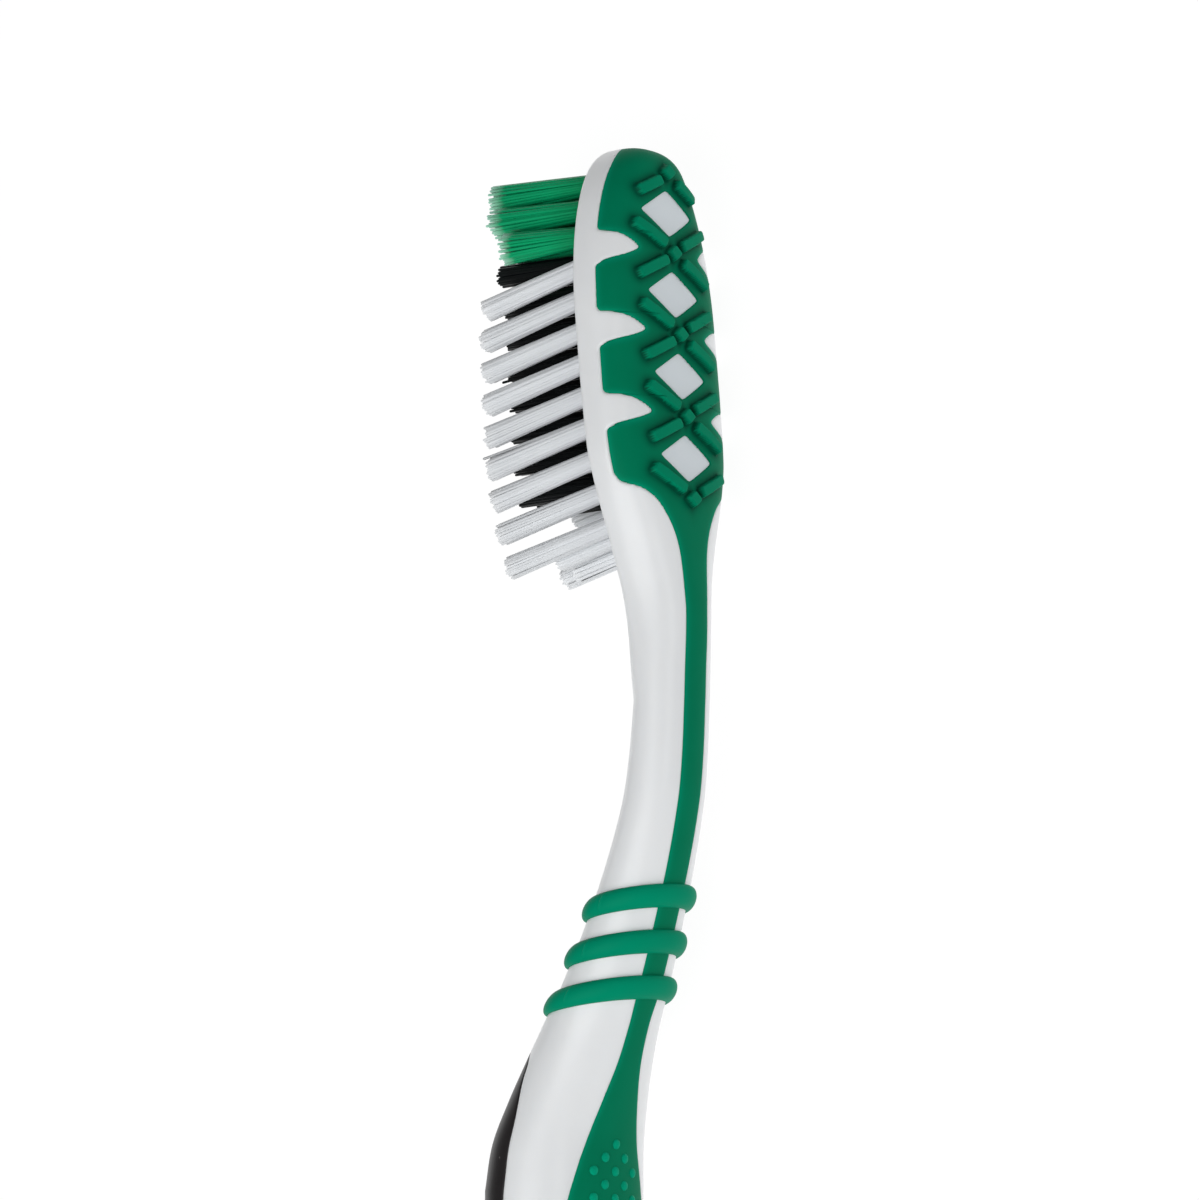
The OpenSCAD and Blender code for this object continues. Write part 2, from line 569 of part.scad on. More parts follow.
// A straight bristle of three sides, opening away from the tuft's middle. It starts inside the
// tuft's root, which is the slice of folded bristles down in the hole.
root_share = 0.2;
seed_turn = 20;
staple_foot = staple_h / 4 - hole_deep;
module strand(at, l) {
  r = strand_d / 2;
  turn = atan2(at[1], at[0]);
  top = at * (1 + splay);
  polyhedron(
    points = [for (e = [0, 1]) for (i = [0:2]) let (c = e == 0 ? at : top, a = turn + 120 * i)
      [c[0] + r * cos(a), c[1] + r * sin(a), e == 0 ? -root_share * hole_deep : l]],
    faces = [[0, 1, 2], [3, 5, 4], [0, 3, 4], [0, 4, 1], [1, 4, 5], [1, 5, 2], [2, 5, 3], [2, 3, 0]]);
}
module tuft(l, seed) {
  r = tuft_d / 2 - tuft_fit;
  difference() {
    translate([0, 0, tuft_fit - hole_deep]) cylinder(r = r, h = hole_deep - 2 * tuft_fit, $fn = root_n);
    translate([-staple_t / 2 - tuft_fit, -tuft_d, staple_foot])
      cube([staple_t + 2 * tuft_fit, 2 * tuft_d, staple_h + tuft_fit]);
  }
  for (i = [0:strands - 1])
    let (around = i == 0 ? 0 : r - strand_d / 2 - tuft_fit, a = 360 * i / (strands - 1) + seed_turn * seed)
    strand([around * cos(a), around * sin(a)], l - ragged * ((3 * i + seed) % 5) / 4);
}
module tufts(spots, lean, l, rise = 0) {
  for (k = [0:len(spots) - 1]) at_tuft(spots[k], lean) tuft(l + rise * (spots[k][0] - spots[0][0]), k);
}
module tip_tufts() {
  color(green_filament) tufts(tip_spots, -inner_lean, tip_tuft_l, -tip_row_fall / tip_pitch);
}
module inner_tufts_left() { color(black_filament) tufts(column(-tuft_step), -inner_lean, tuft_l); }
module inner_tufts_center() { color(black_filament) tufts(column(0), -inner_lean, tuft_l); }
module inner_tufts_right() { color(black_filament) tufts(column(tuft_step), -inner_lean, tuft_l); }
module side_tufts_left() {
  color(white_filament) tufts(mirrored(side_spots), side_lean, tuft_l, side_growth / tuft_pitch);
}
module side_tufts_right() {
  color(white_filament) tufts(side_spots, side_lean, tuft_l, side_growth / tuft_pitch);
}
module heel_tufts() { color(white_filament) tufts(heel_spots, side_lean, heel_tuft_l); }

// Flat anchors across the tufts' folds
module staples(spots, lean) {
  w = tuft_d - 4 * tuft_fit;
  color(anchor_metal) for (s = spots) at_tuft(s, lean)
    translate([-staple_t / 2, -w / 2, staple_foot + tuft_fit / 2]) cube([staple_t, w, staple_h]);
}
module tip_staples() { staples(tip_spots, -inner_lean); }
module inner_staples_left() { staples(column(-tuft_step), -inner_lean); }
module inner_staples_center() { staples(column(0), -inner_lean); }
module inner_staples_right() { staples(column(tuft_step), -inner_lean); }
module side_staples_left() { staples(mirrored(side_spots), side_lean); }
module side_staples_right() { staples(side_spots, side_lean); }
module heel_staples() { staples(heel_spots, side_lean); }

handle_core();
tongue_cleaner_pad();
neck_stripe();
neck_ring_upper();
neck_ring_middle();
neck_ring_lower();
back_grip();
thumb_grip();
tip_tufts();
inner_tufts_left();
inner_tufts_center();
inner_tufts_right();
side_tufts_left();
side_tufts_right();
heel_tufts();
tip_staples();
inner_staples_left();
inner_staples_center();
inner_staples_right();
side_staples_left();
side_staples_right();
heel_staples();
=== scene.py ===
# %% [markdown]
# # A manual toothbrush, dressed for the studio
#
# The brush is a white handle with soft green and black skins moulded on to it, and a head full of
# nylon tufts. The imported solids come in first. They are right in size, but coarse, and each tuft is a
# handful of thick strands. So finer meshes, worked out from the same sizes, replace most of them here.
#
# All lengths below are in millimetres and turn into metres only when a mesh is made.

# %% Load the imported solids
import math
from types import SimpleNamespace
import bmesh
import bpy
import numpy as np
from mathutils import Matrix, Vector


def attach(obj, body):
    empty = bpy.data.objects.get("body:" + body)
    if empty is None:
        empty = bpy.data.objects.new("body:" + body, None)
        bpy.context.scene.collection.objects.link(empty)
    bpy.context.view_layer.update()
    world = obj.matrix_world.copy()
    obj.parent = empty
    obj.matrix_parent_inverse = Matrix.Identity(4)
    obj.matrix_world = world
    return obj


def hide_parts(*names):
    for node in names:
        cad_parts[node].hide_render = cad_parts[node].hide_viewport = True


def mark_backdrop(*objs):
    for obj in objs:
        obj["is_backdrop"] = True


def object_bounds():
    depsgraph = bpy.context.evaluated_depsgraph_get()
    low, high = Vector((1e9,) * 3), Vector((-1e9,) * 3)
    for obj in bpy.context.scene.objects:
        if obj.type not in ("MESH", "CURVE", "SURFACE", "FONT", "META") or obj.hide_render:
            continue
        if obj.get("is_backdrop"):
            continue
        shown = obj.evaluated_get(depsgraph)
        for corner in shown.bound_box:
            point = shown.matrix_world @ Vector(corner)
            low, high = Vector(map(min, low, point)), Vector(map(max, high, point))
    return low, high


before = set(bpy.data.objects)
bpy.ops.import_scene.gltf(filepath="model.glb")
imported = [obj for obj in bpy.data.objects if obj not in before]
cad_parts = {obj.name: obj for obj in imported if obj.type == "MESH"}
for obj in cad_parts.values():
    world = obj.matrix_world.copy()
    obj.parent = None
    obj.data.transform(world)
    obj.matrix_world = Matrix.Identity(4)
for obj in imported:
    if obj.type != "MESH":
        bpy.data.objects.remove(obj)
cad_box = [list(map(float, corner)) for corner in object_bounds()]
MM = 0.001
BODY = "root"
print("solids:", len(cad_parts), "box in mm:", [[round(v / MM, 2) for v in c] for c in cad_box])

# %% [markdown]
# ## Where the camera stands
#
# A brush is photographed from far off with a long lens, so that its shape isn't stretched. The camera
# here looks at the back of the head and at one side of the handle. Its frame is built from three
# directions at right angles: to the right, up, and back towards the viewer. A camera in Blender looks
# along its own minus Z, so those three are the columns of its matrix.

# %% The camera
PICTURE_WIDE, SENSOR_WIDE = 1199, 36
TURN, TIP_AWAY = math.radians(48), math.radians(-9)
DISTANCE, PIXELS_PER_MM = 500, 12.5
ASIDE = 2.76
BRUSH_L, HEAD_W = 190, 14
LOOK_AT = Vector((59.25, 3.487, HEAD_W / 2))

to_viewer = Vector((math.sin(TIP_AWAY), -math.cos(TURN) * math.cos(TIP_AWAY),
                    math.sin(TURN) * math.cos(TIP_AWAY)))
to_right = Vector((0, -math.sin(TURN), -math.cos(TURN)))
upward = Vector((math.cos(TIP_AWAY), math.cos(TURN) * math.sin(TIP_AWAY),
                 -math.sin(TURN) * math.sin(TIP_AWAY)))

camera = bpy.data.objects.new("camera", bpy.data.cameras.new("camera"))
bpy.context.scene.collection.objects.link(camera)
bpy.context.scene.camera = camera
camera.data.sensor_fit = "HORIZONTAL"
camera.data.sensor_width = SENSOR_WIDE
camera.data.lens = SENSOR_WIDE * PIXELS_PER_MM * DISTANCE / PICTURE_WIDE
camera.data.clip_end = 10
stand = (LOOK_AT + DISTANCE * to_viewer + ASIDE * to_right) * MM
camera.matrix_world = Matrix.Translation(stand) @ Matrix((to_right, upward, to_viewer)).transposed().to_4x4()
print("lens", round(camera.data.lens, 1), "mm, camera at", [round(v, 3) for v in stand])

# %% [markdown]
# ## The brush's sizes
#
# Every place on the brush is given by three distances. "Along" starts at the tip of the head and runs
# to the butt. "Set" is how far a point lies behind the handle's axis, on the side away from the
# bristles. "Side" is the distance from the brush's middle plane.

# %% Sizes of the handle and its skins
HEAD_T, NOSE_L, BELLY_L, HEAD_LEAN, HEAD_SET = 5.15, 14.5, 5.5, 5.75, 5.35
SHOULDER_L, NECK_W, NECK_T, NECK_SET, FLARE_L = 25, 6.75, 5.3, 11.36, 38
HANDLE_W, PALM_SWELL, PALM_L, HANDLE_T, THUMB_SWELL, BUTT_L = 13.8, 0.7, 22, 10.7, 0.5, 7
PAD_T, STRIPE_T, GRIP_T, THUMB_T = 0.9, 0.9, 1.3, 1.5
STRIPE_HALF, GRIP_HALF, PAD_END, THUMB_START, THUMB_L, GRIP_MARGIN = 1.28, 5.4, 38, 71.5, 56, 9
PAD_START = PAD_T / 4
WINDOW_FIRST, WINDOW_PITCH, WINDOW_W, WINDOW_L, WINDOW_DEEP = 5.8, 6.68, 6, 3.85, 0.1
BAR_W, BAR_H, BAR_REACH, KNOB_W, KNOB_GAP = 1.15, 0.6, 4.6, 1.3, 0.3
FINGER_L, FINGER_TIP, FINGER_LEAD = 2.7, 3.55, 1.3
RING_FIRST, RING_PITCH, RING_W, RING_H, RING_LEAN, RING_SLANT = 60.8, 3.56, 1.85, 0.6, 7.5, 3
DOT_D, DOT_H, DOT_PITCH, DOT_STEP, DOT_ROWS, DOT_FIRST = 0.8, 0.2, 1.06, 2.25, 19, 79.5

BELLY_END = NOSE_L + BELLY_L
NECK_AT = BELLY_END + SHOULDER_L
HANDLE_AT = NECK_AT + FLARE_L
BUTT_AT, THUMB_END, GRIP_END = BRUSH_L - BUTT_L, THUMB_START + THUMB_L, BRUSH_L - GRIP_MARGIN
RING_LAST = RING_FIRST + 2 * RING_PITCH
HEAD_HALF = HEAD_W / 2
FRONT_RISE = math.tan(math.radians(HEAD_LEAN))
HEEL_SHARE, TAIL_SHARE, WIDE_SHARE = 0.54, 0.3, 0.63
HEEL_AT = BELLY_END + HEEL_SHARE * SHOULDER_L
TAIL_AT = BELLY_END + TAIL_SHARE * SHOULDER_L
GRIP_WIDE_AT = RING_LAST + WIDE_SHARE * FLARE_L
print("neck at", NECK_AT, "handle at", HANDLE_AT, "grip ends at", GRIP_END)

# %% Tables that shape the outline, as shares of the sizes that they follow
SHOULDER = [(0, 1), (0.21, 0.94), (0.3, 0.82), (0.4, 0.63), (0.49, 0.44), (0.58, 0.27), (0.67, 0.13),
            (0.8, 0.03), (1, 0)]
FLARE_PLACES = (0, 0.12, 0.21, 0.33, 0.455, 0.58, 0.66, 0.74, 0.82, 0.905, 1)
FLARE = list(zip(FLARE_PLACES, (0, 0.015, 0.04, 0.105, 0.2, 0.32, 0.42, 0.57, 0.75, 0.92, 1)))
BEND = list(zip(FLARE_PLACES, (1, 0.966, 0.919, 0.805, 0.654, 0.479, 0.346, 0.227, 0.123, 0.035, 0)))
SWELL = [(0, 0), *zip(FLARE_PLACES[2:], (0.096, 0.19, 0.3, 0.46, 0.57, 0.68, 0.79, 0.91, 1))]
BLEND = [(0, 0), (0.25, 0.14), (0.5, 0.5), (0.75, 0.86), (1, 1)]
TAIL = [(0, 0.885), (0.03, 0.866), (0.055, 0.848), (0.074, 0.82), (0.087, 0.775), (0.098, 0.72),
        (0.114, 0.66), (0.138, 0.6), (0.17, 0.535), (0.205, 0.482), (0.271, 0.41), (0.362, 0.331),
        (0.467, 0.27), (0.576, 0.232), (0.719, 0.209), (0.86, 0.196)]
FINGER = [(0, 0), (0.03, 0.26), (0.09, 0.5), (0.16, 0.65), (0.24, 0.79), (0.33, 0.91), (0.39, 0.975),
          (0.44, 1), (0.49, 0.97), (0.56, 0.87), (0.68, 0.63), (0.8, 0.33), (0.89, 0.14), (0.96, 0.05),
          (1, 0)]
GRIP = [(0, 0), (0.095, -0.03), (0.22, 0.02), (0.346, 0.19), (0.488, 0.43), (0.55, 0.55), (0.68, 0.76),
        (0.84, 0.92), (1, 1)]
THUMB_DEPTH = [(0, 0.98), (0.01, 0.72), (0.0286, 0.456), (0.0536, 0.333), (0.082, 0.189), (0.119, 0.06),
               (0.16, 0.03), (0.22, 0.04), (0.32, 0.2), (0.55, 0.41), (0.78, 0.56), (0.92, 0.78),
               (0.98, 0.93), (1, 0.98)]
FRONT_CORNER = [(0, 4.4), (0.6, 4.2), (1, 2)]
BACK_CORNER = [(0, 2.8), (0.3, 2.75), (0.62, 2.15), (1, 2)]
HANDLE_CORNER, RIM_SHARE, RIM_GAIN, HEAD_WAIST = 2.15, 0.97, 0.0003, 0.22
NOSE_ROUND, BUTT_ROUND, BACK_ROUND, FRONT_ROUND = 2.3, 2.4, 2.7, 2


def curve(table, s):
    """The smooth curve through a table of (place, value) rows. It is level beyond both ends."""
    i = min(max(sum(1 for row in table if row[0] <= s) - 1, 0), len(table) - 2)

    def slope(k):
        a, b = table[max(0, k - 1)], table[min(len(table) - 1, k + 1)]
        return (b[1] - a[1]) / (b[0] - a[0])

    h = table[i + 1][0] - table[i][0]
    q = min(max((s - table[i][0]) / h, 0), 1)
    return (table[i][1] * (1 + 2 * q) * (1 - q) ** 2 + h * slope(i) * q * (1 - q) ** 2
            + table[i + 1][1] * q * q * (3 - 2 * q) + h * slope(i + 1) * q * q * (q - 1))


print("half the flare's width share:", round(curve(FLARE, 0.5), 3))

# %% [markdown]
# ## The section at any place
#
# Cut across anywhere, the brush shows a rounded oblong: a superellipse, |x/a|^n + |y/b|^n = 1. With n
# at 2 that is an ellipse, and a larger n squares its corners. The head is squarer to the front, where
# the bristles stand, and the handle is nearly elliptical. One function gives the sizes of a section,
# and a second gives its points and the direction that is square to its skin.


# %% Sizes of a section
def capped(base, power):
    """What a rounded end leaves of a size: all of it at base 0, and nothing at base 1."""
    return max(0.0, 1 - base) ** (1 / power)


def butt_share(d):
    return capped(((d - BUTT_AT) / BUTT_L) ** BUTT_ROUND, BUTT_ROUND) if d > BUTT_AT else 1


def half_width(d):
    if d < NOSE_L:
        return HEAD_HALF * capped((1 - d / NOSE_L) ** 2, NOSE_ROUND)
    if d < NECK_AT:
        return NECK_W / 2 + (HEAD_HALF - NECK_W / 2) * curve(SHOULDER, (d - BELLY_END) / SHOULDER_L)
    palm = math.sin(math.pi / 2 * min(max((d - HANDLE_AT) / PALM_L, 0), 1)) ** 2
    grown = NECK_W / 2 + (HANDLE_W - NECK_W) / 2 * curve(FLARE, (d - NECK_AT) / FLARE_L)
    return (grown + PALM_SWELL / 2 * palm) * butt_share(d)


def section(d):
    """Half width a, waist's set w, depths to the back and to the front, and both corner powers."""
    mix = curve(BLEND, (d - HEEL_AT) / (NECK_AT - HEEL_AT))
    bend = NECK_SET * curve(BEND, (d - NECK_AT) / FLARE_L)
    thick = NECK_T + (HANDLE_T - NECK_T) * curve(SWELL, (d - NECK_AT) / FLARE_L)
    swelling = math.sin(math.pi * (d - HANDLE_AT) / (THUMB_END - HANDLE_AT)) ** 2
    bulge = THUMB_SWELL * swelling if HANDLE_AT < d < THUMB_END else 0
    rise = FRONT_RISE * min(d, NECK_AT)
    front = (1 - mix) * (HEAD_SET + rise) + mix * (bend - thick / 2 - bulge)
    back = (1 - mix) * (HEAD_SET + HEAD_T + rise) + mix * (bend + thick / 2)
    waist = front + (HEAD_WAIST + (0.5 - HEAD_WAIST) * mix) * (back - front)
    near_tip = max(1 - 2 * d / HEAD_T, 0)
    to_back = (back - waist) * capped(near_tip ** BACK_ROUND, BACK_ROUND) * butt_share(d)
    to_front = (waist - front) * capped(near_tip ** FRONT_ROUND, FRONT_ROUND) * butt_share(d)
    if d < NECK_AT:
        corners = tuple(curve(t, (d - BELLY_END) / SHOULDER_L) for t in (BACK_CORNER, FRONT_CORNER))
    else:
        corners = (2 + (HANDLE_CORNER - 2) * min(1, (d - NECK_AT) / FLARE_L),) * 2
    return SimpleNamespace(d=d, a=max(half_width(d), 1e-3), w=waist, back=max(to_back, 1e-3),
                           front=max(to_front, 1e-3), corners=corners)


all_along = [section(BRUSH_L * k / 100) for k in range(101)]
TIP_TUFT_L, INNER_LEAN = 12.6, 7
front_reach = max([s.front - s.w for s in all_along]
                  + [TIP_TUFT_L * math.cos(math.radians(INNER_LEAN - HEAD_LEAN)) - HEAD_SET])
back_reach = max(s.w + s.back for s in all_along)
DEPTH_MID = (back_reach - front_reach) / 2
print("middle of the depth:", round(DEPTH_MID, 3), "mm behind the handle's axis")


# %% Points of a section, by the angle round it: 0 is the near side, a quarter turn on is the back
def place(d, setback, side):
    """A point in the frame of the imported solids, in millimetres."""
    row = np.broadcast_arrays(BRUSH_L / 2 - d, DEPTH_MID - setback, HEAD_HALF + side)
    return np.stack(row, -1).astype(float)


def around(s, angle):
    """Side, set and the two parts of the outward direction for each angle of a section."""
    c, sn = np.cos(angle), np.sin(angle)
    deep = np.where(sn >= 0, s.back, s.front)
    n = np.where(sn >= 0, *s.corners)
    r = (np.abs(c / s.a) ** n + np.abs(sn / deep) ** n) ** (-1 / n)
    u, v = r * c, r * sn
    nu = np.abs(u / s.a) ** (n - 1) * np.sign(c) / s.a
    nv = np.abs(v / deep) ** (n - 1) * np.sign(sn) / deep
    size = np.hypot(nu, nv)
    return u, s.w + v, nu / size, nv / size


def skin_points(s, angle, lift, raised=0):
    """Points lifted square to the outline, or raised square to the back. The handle's sides are cut flat."""
    u, v, nu, nv = around(s, angle)
    u = u + lift * nu
    if s.d > HANDLE_AT:
        u = np.clip(u, -HEAD_HALF, HEAD_HALF)
    return place(s.d - raised * FRONT_RISE, v + lift * nv + raised, u)


def edge_angle(s, share, back=True):
    """Angle at which the outline reaches a share of its half width."""
    n = s.corners[0 if back else 1]
    deep = s.back if back else s.front
    return math.atan2(deep * max(0.0, 1 - share ** n) ** (1 / n), s.a * share)


test = section(20)
print("head at 20 mm: half width", round(test.a, 2), "depth", round(test.back + test.front, 2))


# %% [markdown]
# ## Where the green ends and the white begins
#
# The green skin covers the back of the head, save for three white fingers on each side, then narrows
# to a stripe down the neck and opens again into the grip. Its half width is a share of the section's.
# The black skin on the front is given by how deep its edge lies, which is what one sees from the side.
# Each outline is kept as a string of points, so that any other point can be asked how far it is from
# the edge. That distance shapes the tiny groove where the two plastics meet.


# %% Half widths of the green skin and of the black one
TAB_ROUND, TAB_CUT = 0.4, 0.17
finger_starts = [WINDOW_FIRST + (k - 0.5) * WINDOW_PITCH - FINGER_LEAD for k in (1, 2, 3)]


def finger_place(d):
    """How far through a white finger a place lies, from 0 to 1."""
    for start in finger_starts:
        if 0 < d - start < FINGER_L:
            return (d - start) / FINGER_L
    return None


def corner_cut(d):
    """How far the rounded corner of a green tab draws its edge in, beside a finger."""
    beyond = min(max(start - d, d - start - FINGER_L, 0) for start in finger_starts)
    t = max(1 - beyond / TAB_ROUND, 0)
    return TAB_CUT * (1 - math.sqrt(1 - t * t))


def soft_min(a, b, k):
    """The smaller of two values, with a rounded change from one to the other."""
    return min(a, b) - max(k - abs(a - b), 0) ** 2 / (4 * k)


def green_share(s):
    """Half width of the green skin, as a share of the section's."""
    d, a = s.d, s.a
    if d < TAIL_AT:
        q, full = finger_place(d), RIM_SHARE + RIM_GAIN * max(d - NOSE_L / 2, 0)
        rim = full - corner_cut(d) / a
        if q is None:
            return rim
        return soft_min(rim, full + (FINGER_TIP / a - full) * curve(FINGER, q), TAB_CUT / a)
    if d < PAD_END:
        q, last = (d - TAIL_AT) / (PAD_END - TAIL_AT), TAIL[-1]
        if q < last[0]:
            return HEAD_HALF / a * curve(TAIL, q)
        return (HEAD_HALF * last[1] + (STRIPE_HALF - HEAD_HALF * last[1]) * (q - last[0]) / (1 - last[0])) / a
    if d < GRIP_WIDE_AT:
        grown = curve(GRIP, (d - RING_LAST) / (GRIP_WIDE_AT - RING_LAST))
        return (STRIPE_HALF + (GRIP_HALF - STRIPE_HALF) * grown) / a
    start = BUTT_AT - GRIP_HALF
    closing = capped(((d - start) / (GRIP_END - start)) ** 2, 2) if d > start else 1
    return GRIP_HALF / a * closing if d < GRIP_END else 0


def share_at_depth(s, depth):
    """Share of the half width at which the front of a section has this share of its full depth."""
    n = s.corners[1]
    return (1 - depth ** n) ** (1 / n)


def black_share(s):
    """The same share for the black skin."""
    q = (s.d - THUMB_START) / THUMB_L
    return share_at_depth(s, curve(THUMB_DEPTH, q)) if 0 < q < 1 else 0


def run_along(points):
    """How far along a string of points each of them lies."""
    return np.r_[0, np.cumsum(np.linalg.norm(np.diff(points, axis=0), axis=1))]


def outline_points(share_of, places, back, step=0.04):
    """The edge of a skin on the near side, from middle to middle, as points one step apart."""
    way = 1 if back else -1

    def edge_at_place(d):
        s = section(d)
        return s, way * edge_angle(s, min(max(share_of(s), 0), 1), back)

    def across(d):
        s, angle = edge_at_place(d)
        return skin_points(s, np.linspace(way * math.pi / 2, angle, 40), 0)

    along = [skin_points(s, np.array([angle]), 0)[0] for s, angle in map(edge_at_place, places)]
    found = np.vstack([across(places[0]), along, across(places[-1])[::-1]])
    run = run_along(found)
    want = np.arange(0, run[-1], step)
    return np.stack([np.interp(want, run, found[:, i]) for i in range(3)], 1)


green_places = np.r_[np.arange(PAD_START, PAD_END, 0.01), np.arange(PAD_END, GRIP_END, 0.05)]
green_edge = outline_points(green_share, green_places, True)
black_edge = outline_points(black_share, np.arange(THUMB_START + 0.001, THUMB_END, 0.02), False)
print("edge points:", len(green_edge), "green,", len(black_edge), "black")


def edge_distance(points, edge, inside, reach=1.5):
    """How far each point of one ring lies from a skin's edge, above zero on the skin."""
    close = edge[np.abs(edge[:, 0] - points[0, 0]) < reach]
    if not len(close):
        return np.where(inside, reach, -reach)
    folded = points.copy()
    folded[:, 2] = HEAD_HALF + np.abs(points[:, 2] - HEAD_HALF)
    gap = np.sqrt(((folded[:, None] - close[None]) ** 2).sum(2)).min(1)
    return np.where(inside, 1, -1) * np.minimum(gap, reach)


# %% [markdown]
# ## Raised bars, knobs and sunken windows
#
# The pad on the back of the head cleans the tongue. Bars cross it in an X between each two windows,
# with a square knob where they would meet, and through each window the white plastic shows. These
# small forms could be cut with Booleans, but their edges would then be hard. A moulded rubber edge is
# round, so the pad is a height field instead: for every point, a distance to each form is turned into
# a height by a smooth step.


# %% Distances to the small forms, in the plane of the head's back
def smooth_step(x):
    x = np.clip(x, 0, 1)
    return x * x * (3 - 2 * x)


def in_diamond(x, y, half_x, half_y, soft=0.06):
    """Distance to the edge of a diamond with soft corners, above zero inside it."""
    ax, ay = np.sqrt((x / half_x) ** 2 + soft ** 2), np.sqrt((y / half_y) ** 2 + soft ** 2)
    return (1 - ax - ay) / math.hypot(1 / half_x, 1 / half_y)


def in_bar(x, y, angle, start, end, half, corner=0.32):
    """Distance to the edge of a bar with rounded corners that runs outwards along its own angle."""
    along = x * math.cos(angle) + y * math.sin(angle) - (start + end) / 2
    across = -x * math.sin(angle) + y * math.cos(angle)
    qx, qy = np.abs(along) - (end - start) / 2 + corner, np.abs(across) - half + corner
    return corner - np.hypot(np.maximum(qx, 0), np.maximum(qy, 0)) - np.minimum(np.maximum(qx, qy), 0)


WINDOWS, SLOPE = 4, math.radians(27)
KNOB_ALONG, KNOB_ASIDE, KNOB_SOFT = 0.625 * KNOB_W, 0.725 * KNOB_W, 0.12
BAR_NEARER, BAR_TRIM, BAR_LATER, FIRST_REACH_SHARE = 0.13, 0.07, 0.05, 0.8
FLANK_OUT, FLANK_W, BAR_SHADE_FADE, FAR_OUTSIDE = 0.02, 0.15, 0.3, -9.0


def window_distance(d, side):
    """How far inside a window a place lies, above zero inside."""
    return np.max([in_diamond(d - WINDOW_FIRST - k * WINDOW_PITCH, side, WINDOW_L / 2, WINDOW_W / 2)
                   for k in range(WINDOWS)], axis=0)


def relief(d, side):
    """Height of the bars and knobs at a place on the pad, and how near it is to one, from 0 to 1."""
    best = np.full(np.shape(side), FAR_OUTSIDE)
    bar_start, bar_half = KNOB_W / 2 + KNOB_GAP + BAR_LATER, BAR_W / 2 - BAR_TRIM
    for k in range(WINDOWS + 1):
        x = -(d - WINDOW_FIRST - (k - 0.5) * WINDOW_PITCH)
        best = np.maximum(best, in_diamond(x, side, KNOB_ALONG, KNOB_ASIDE, KNOB_SOFT))
        reach, nearer = (BAR_REACH * FIRST_REACH_SHARE, BAR_NEARER * 2) if k == 0 else (BAR_REACH, BAR_NEARER)
        for way in ([-1] if k == 0 else [1] if k == WINDOWS else [1, -1]):
            for hand in (1, -1):
                angle = math.atan2(hand * math.cos(SLOPE), way * math.sin(SLOPE))
                best = np.maximum(best, in_bar(x - way * nearer, side, angle, bar_start, reach, bar_half))
    return BAR_H * smooth_step((best + FLANK_OUT) / FLANK_W), np.exp(-np.maximum(-best, 0) / BAR_SHADE_FADE)


on_a_bar = relief(WINDOW_FIRST + WINDOW_PITCH / 2 + 1.0, np.array([1.9]))[0][0]
print("height on a bar:", round(float(on_a_bar), 2), "mm")

# %% [markdown]
# ## Materials
#
# The handle is injection-moulded polypropylene, the skins are thermoplastic elastomers moulded over it,
# and the bristles are drawn nylon. None of them is a metal, so their shine comes from the index of
# refraction, which lies near 1.5 for all. What tells them apart is roughness, how far light travels
# inside them, and the fine grain that each process leaves.


# %% Helpers for colours and nodes
def colour(text):
    """An sRGB hex value as the linear numbers that a shader takes."""
    value = [int(text[i:i + 2], 16) / 255 for i in (1, 3, 5)]
    return [c / 12.92 if c <= 0.04045 else ((c + 0.055) / 1.055) ** 2.4 for c in value] + [1.0]


def add_node(tree, kind, inputs=None, **settings):
    """A new node with its settings. An input is either a number or another node's output."""
    made = tree.nodes.new(kind)
    for key, value in settings.items():
        setattr(made, key, value)
    for key, value in (inputs or {}).items():
        if isinstance(value, bpy.types.NodeSocket):
            tree.links.new(value, made.inputs[key])
        else:
            made.inputs[key].default_value = value
    return made


def new_material(name, **surface):
    """A material with its Principled shader, tree and object coordinates ready."""
    made = bpy.data.materials.new(name)
    made.use_nodes = True
    shader = made.node_tree.nodes["Principled BSDF"]
    for key, value in surface.items():
        shader.inputs[key.replace("_", " ")].default_value = value
    where = add_node(made.node_tree, "ShaderNodeTexCoord").outputs["Object"]
    return made, made.node_tree, shader, where


def grain(tree, shader, where, size, depth, mottle, low, high):
    """A moulded grain of bumps of one size. It gives back a slow mottle between two colours."""
    fine = add_node(tree, "ShaderNodeTexNoise", {
        "Vector": where, "Scale": 1 / (size * MM), "Detail": 3, "Roughness": 0.6})
    bump = add_node(tree, "ShaderNodeBump", {
        "Height": fine.outputs["Fac"], "Distance": depth * MM, "Strength": 1})
    tree.links.new(bump.outputs["Normal"], shader.inputs["Normal"])
    slow = add_node(tree, "ShaderNodeTexNoise", {"Vector": where, "Scale": 1 / (mottle * MM), "Detail": 4})
    tone = add_node(tree, "ShaderNodeMix", {
        "Factor": slow.outputs["Fac"], "A": colour(low), "B": colour(high)}, data_type="RGBA")
    return tone.outputs["Result"]
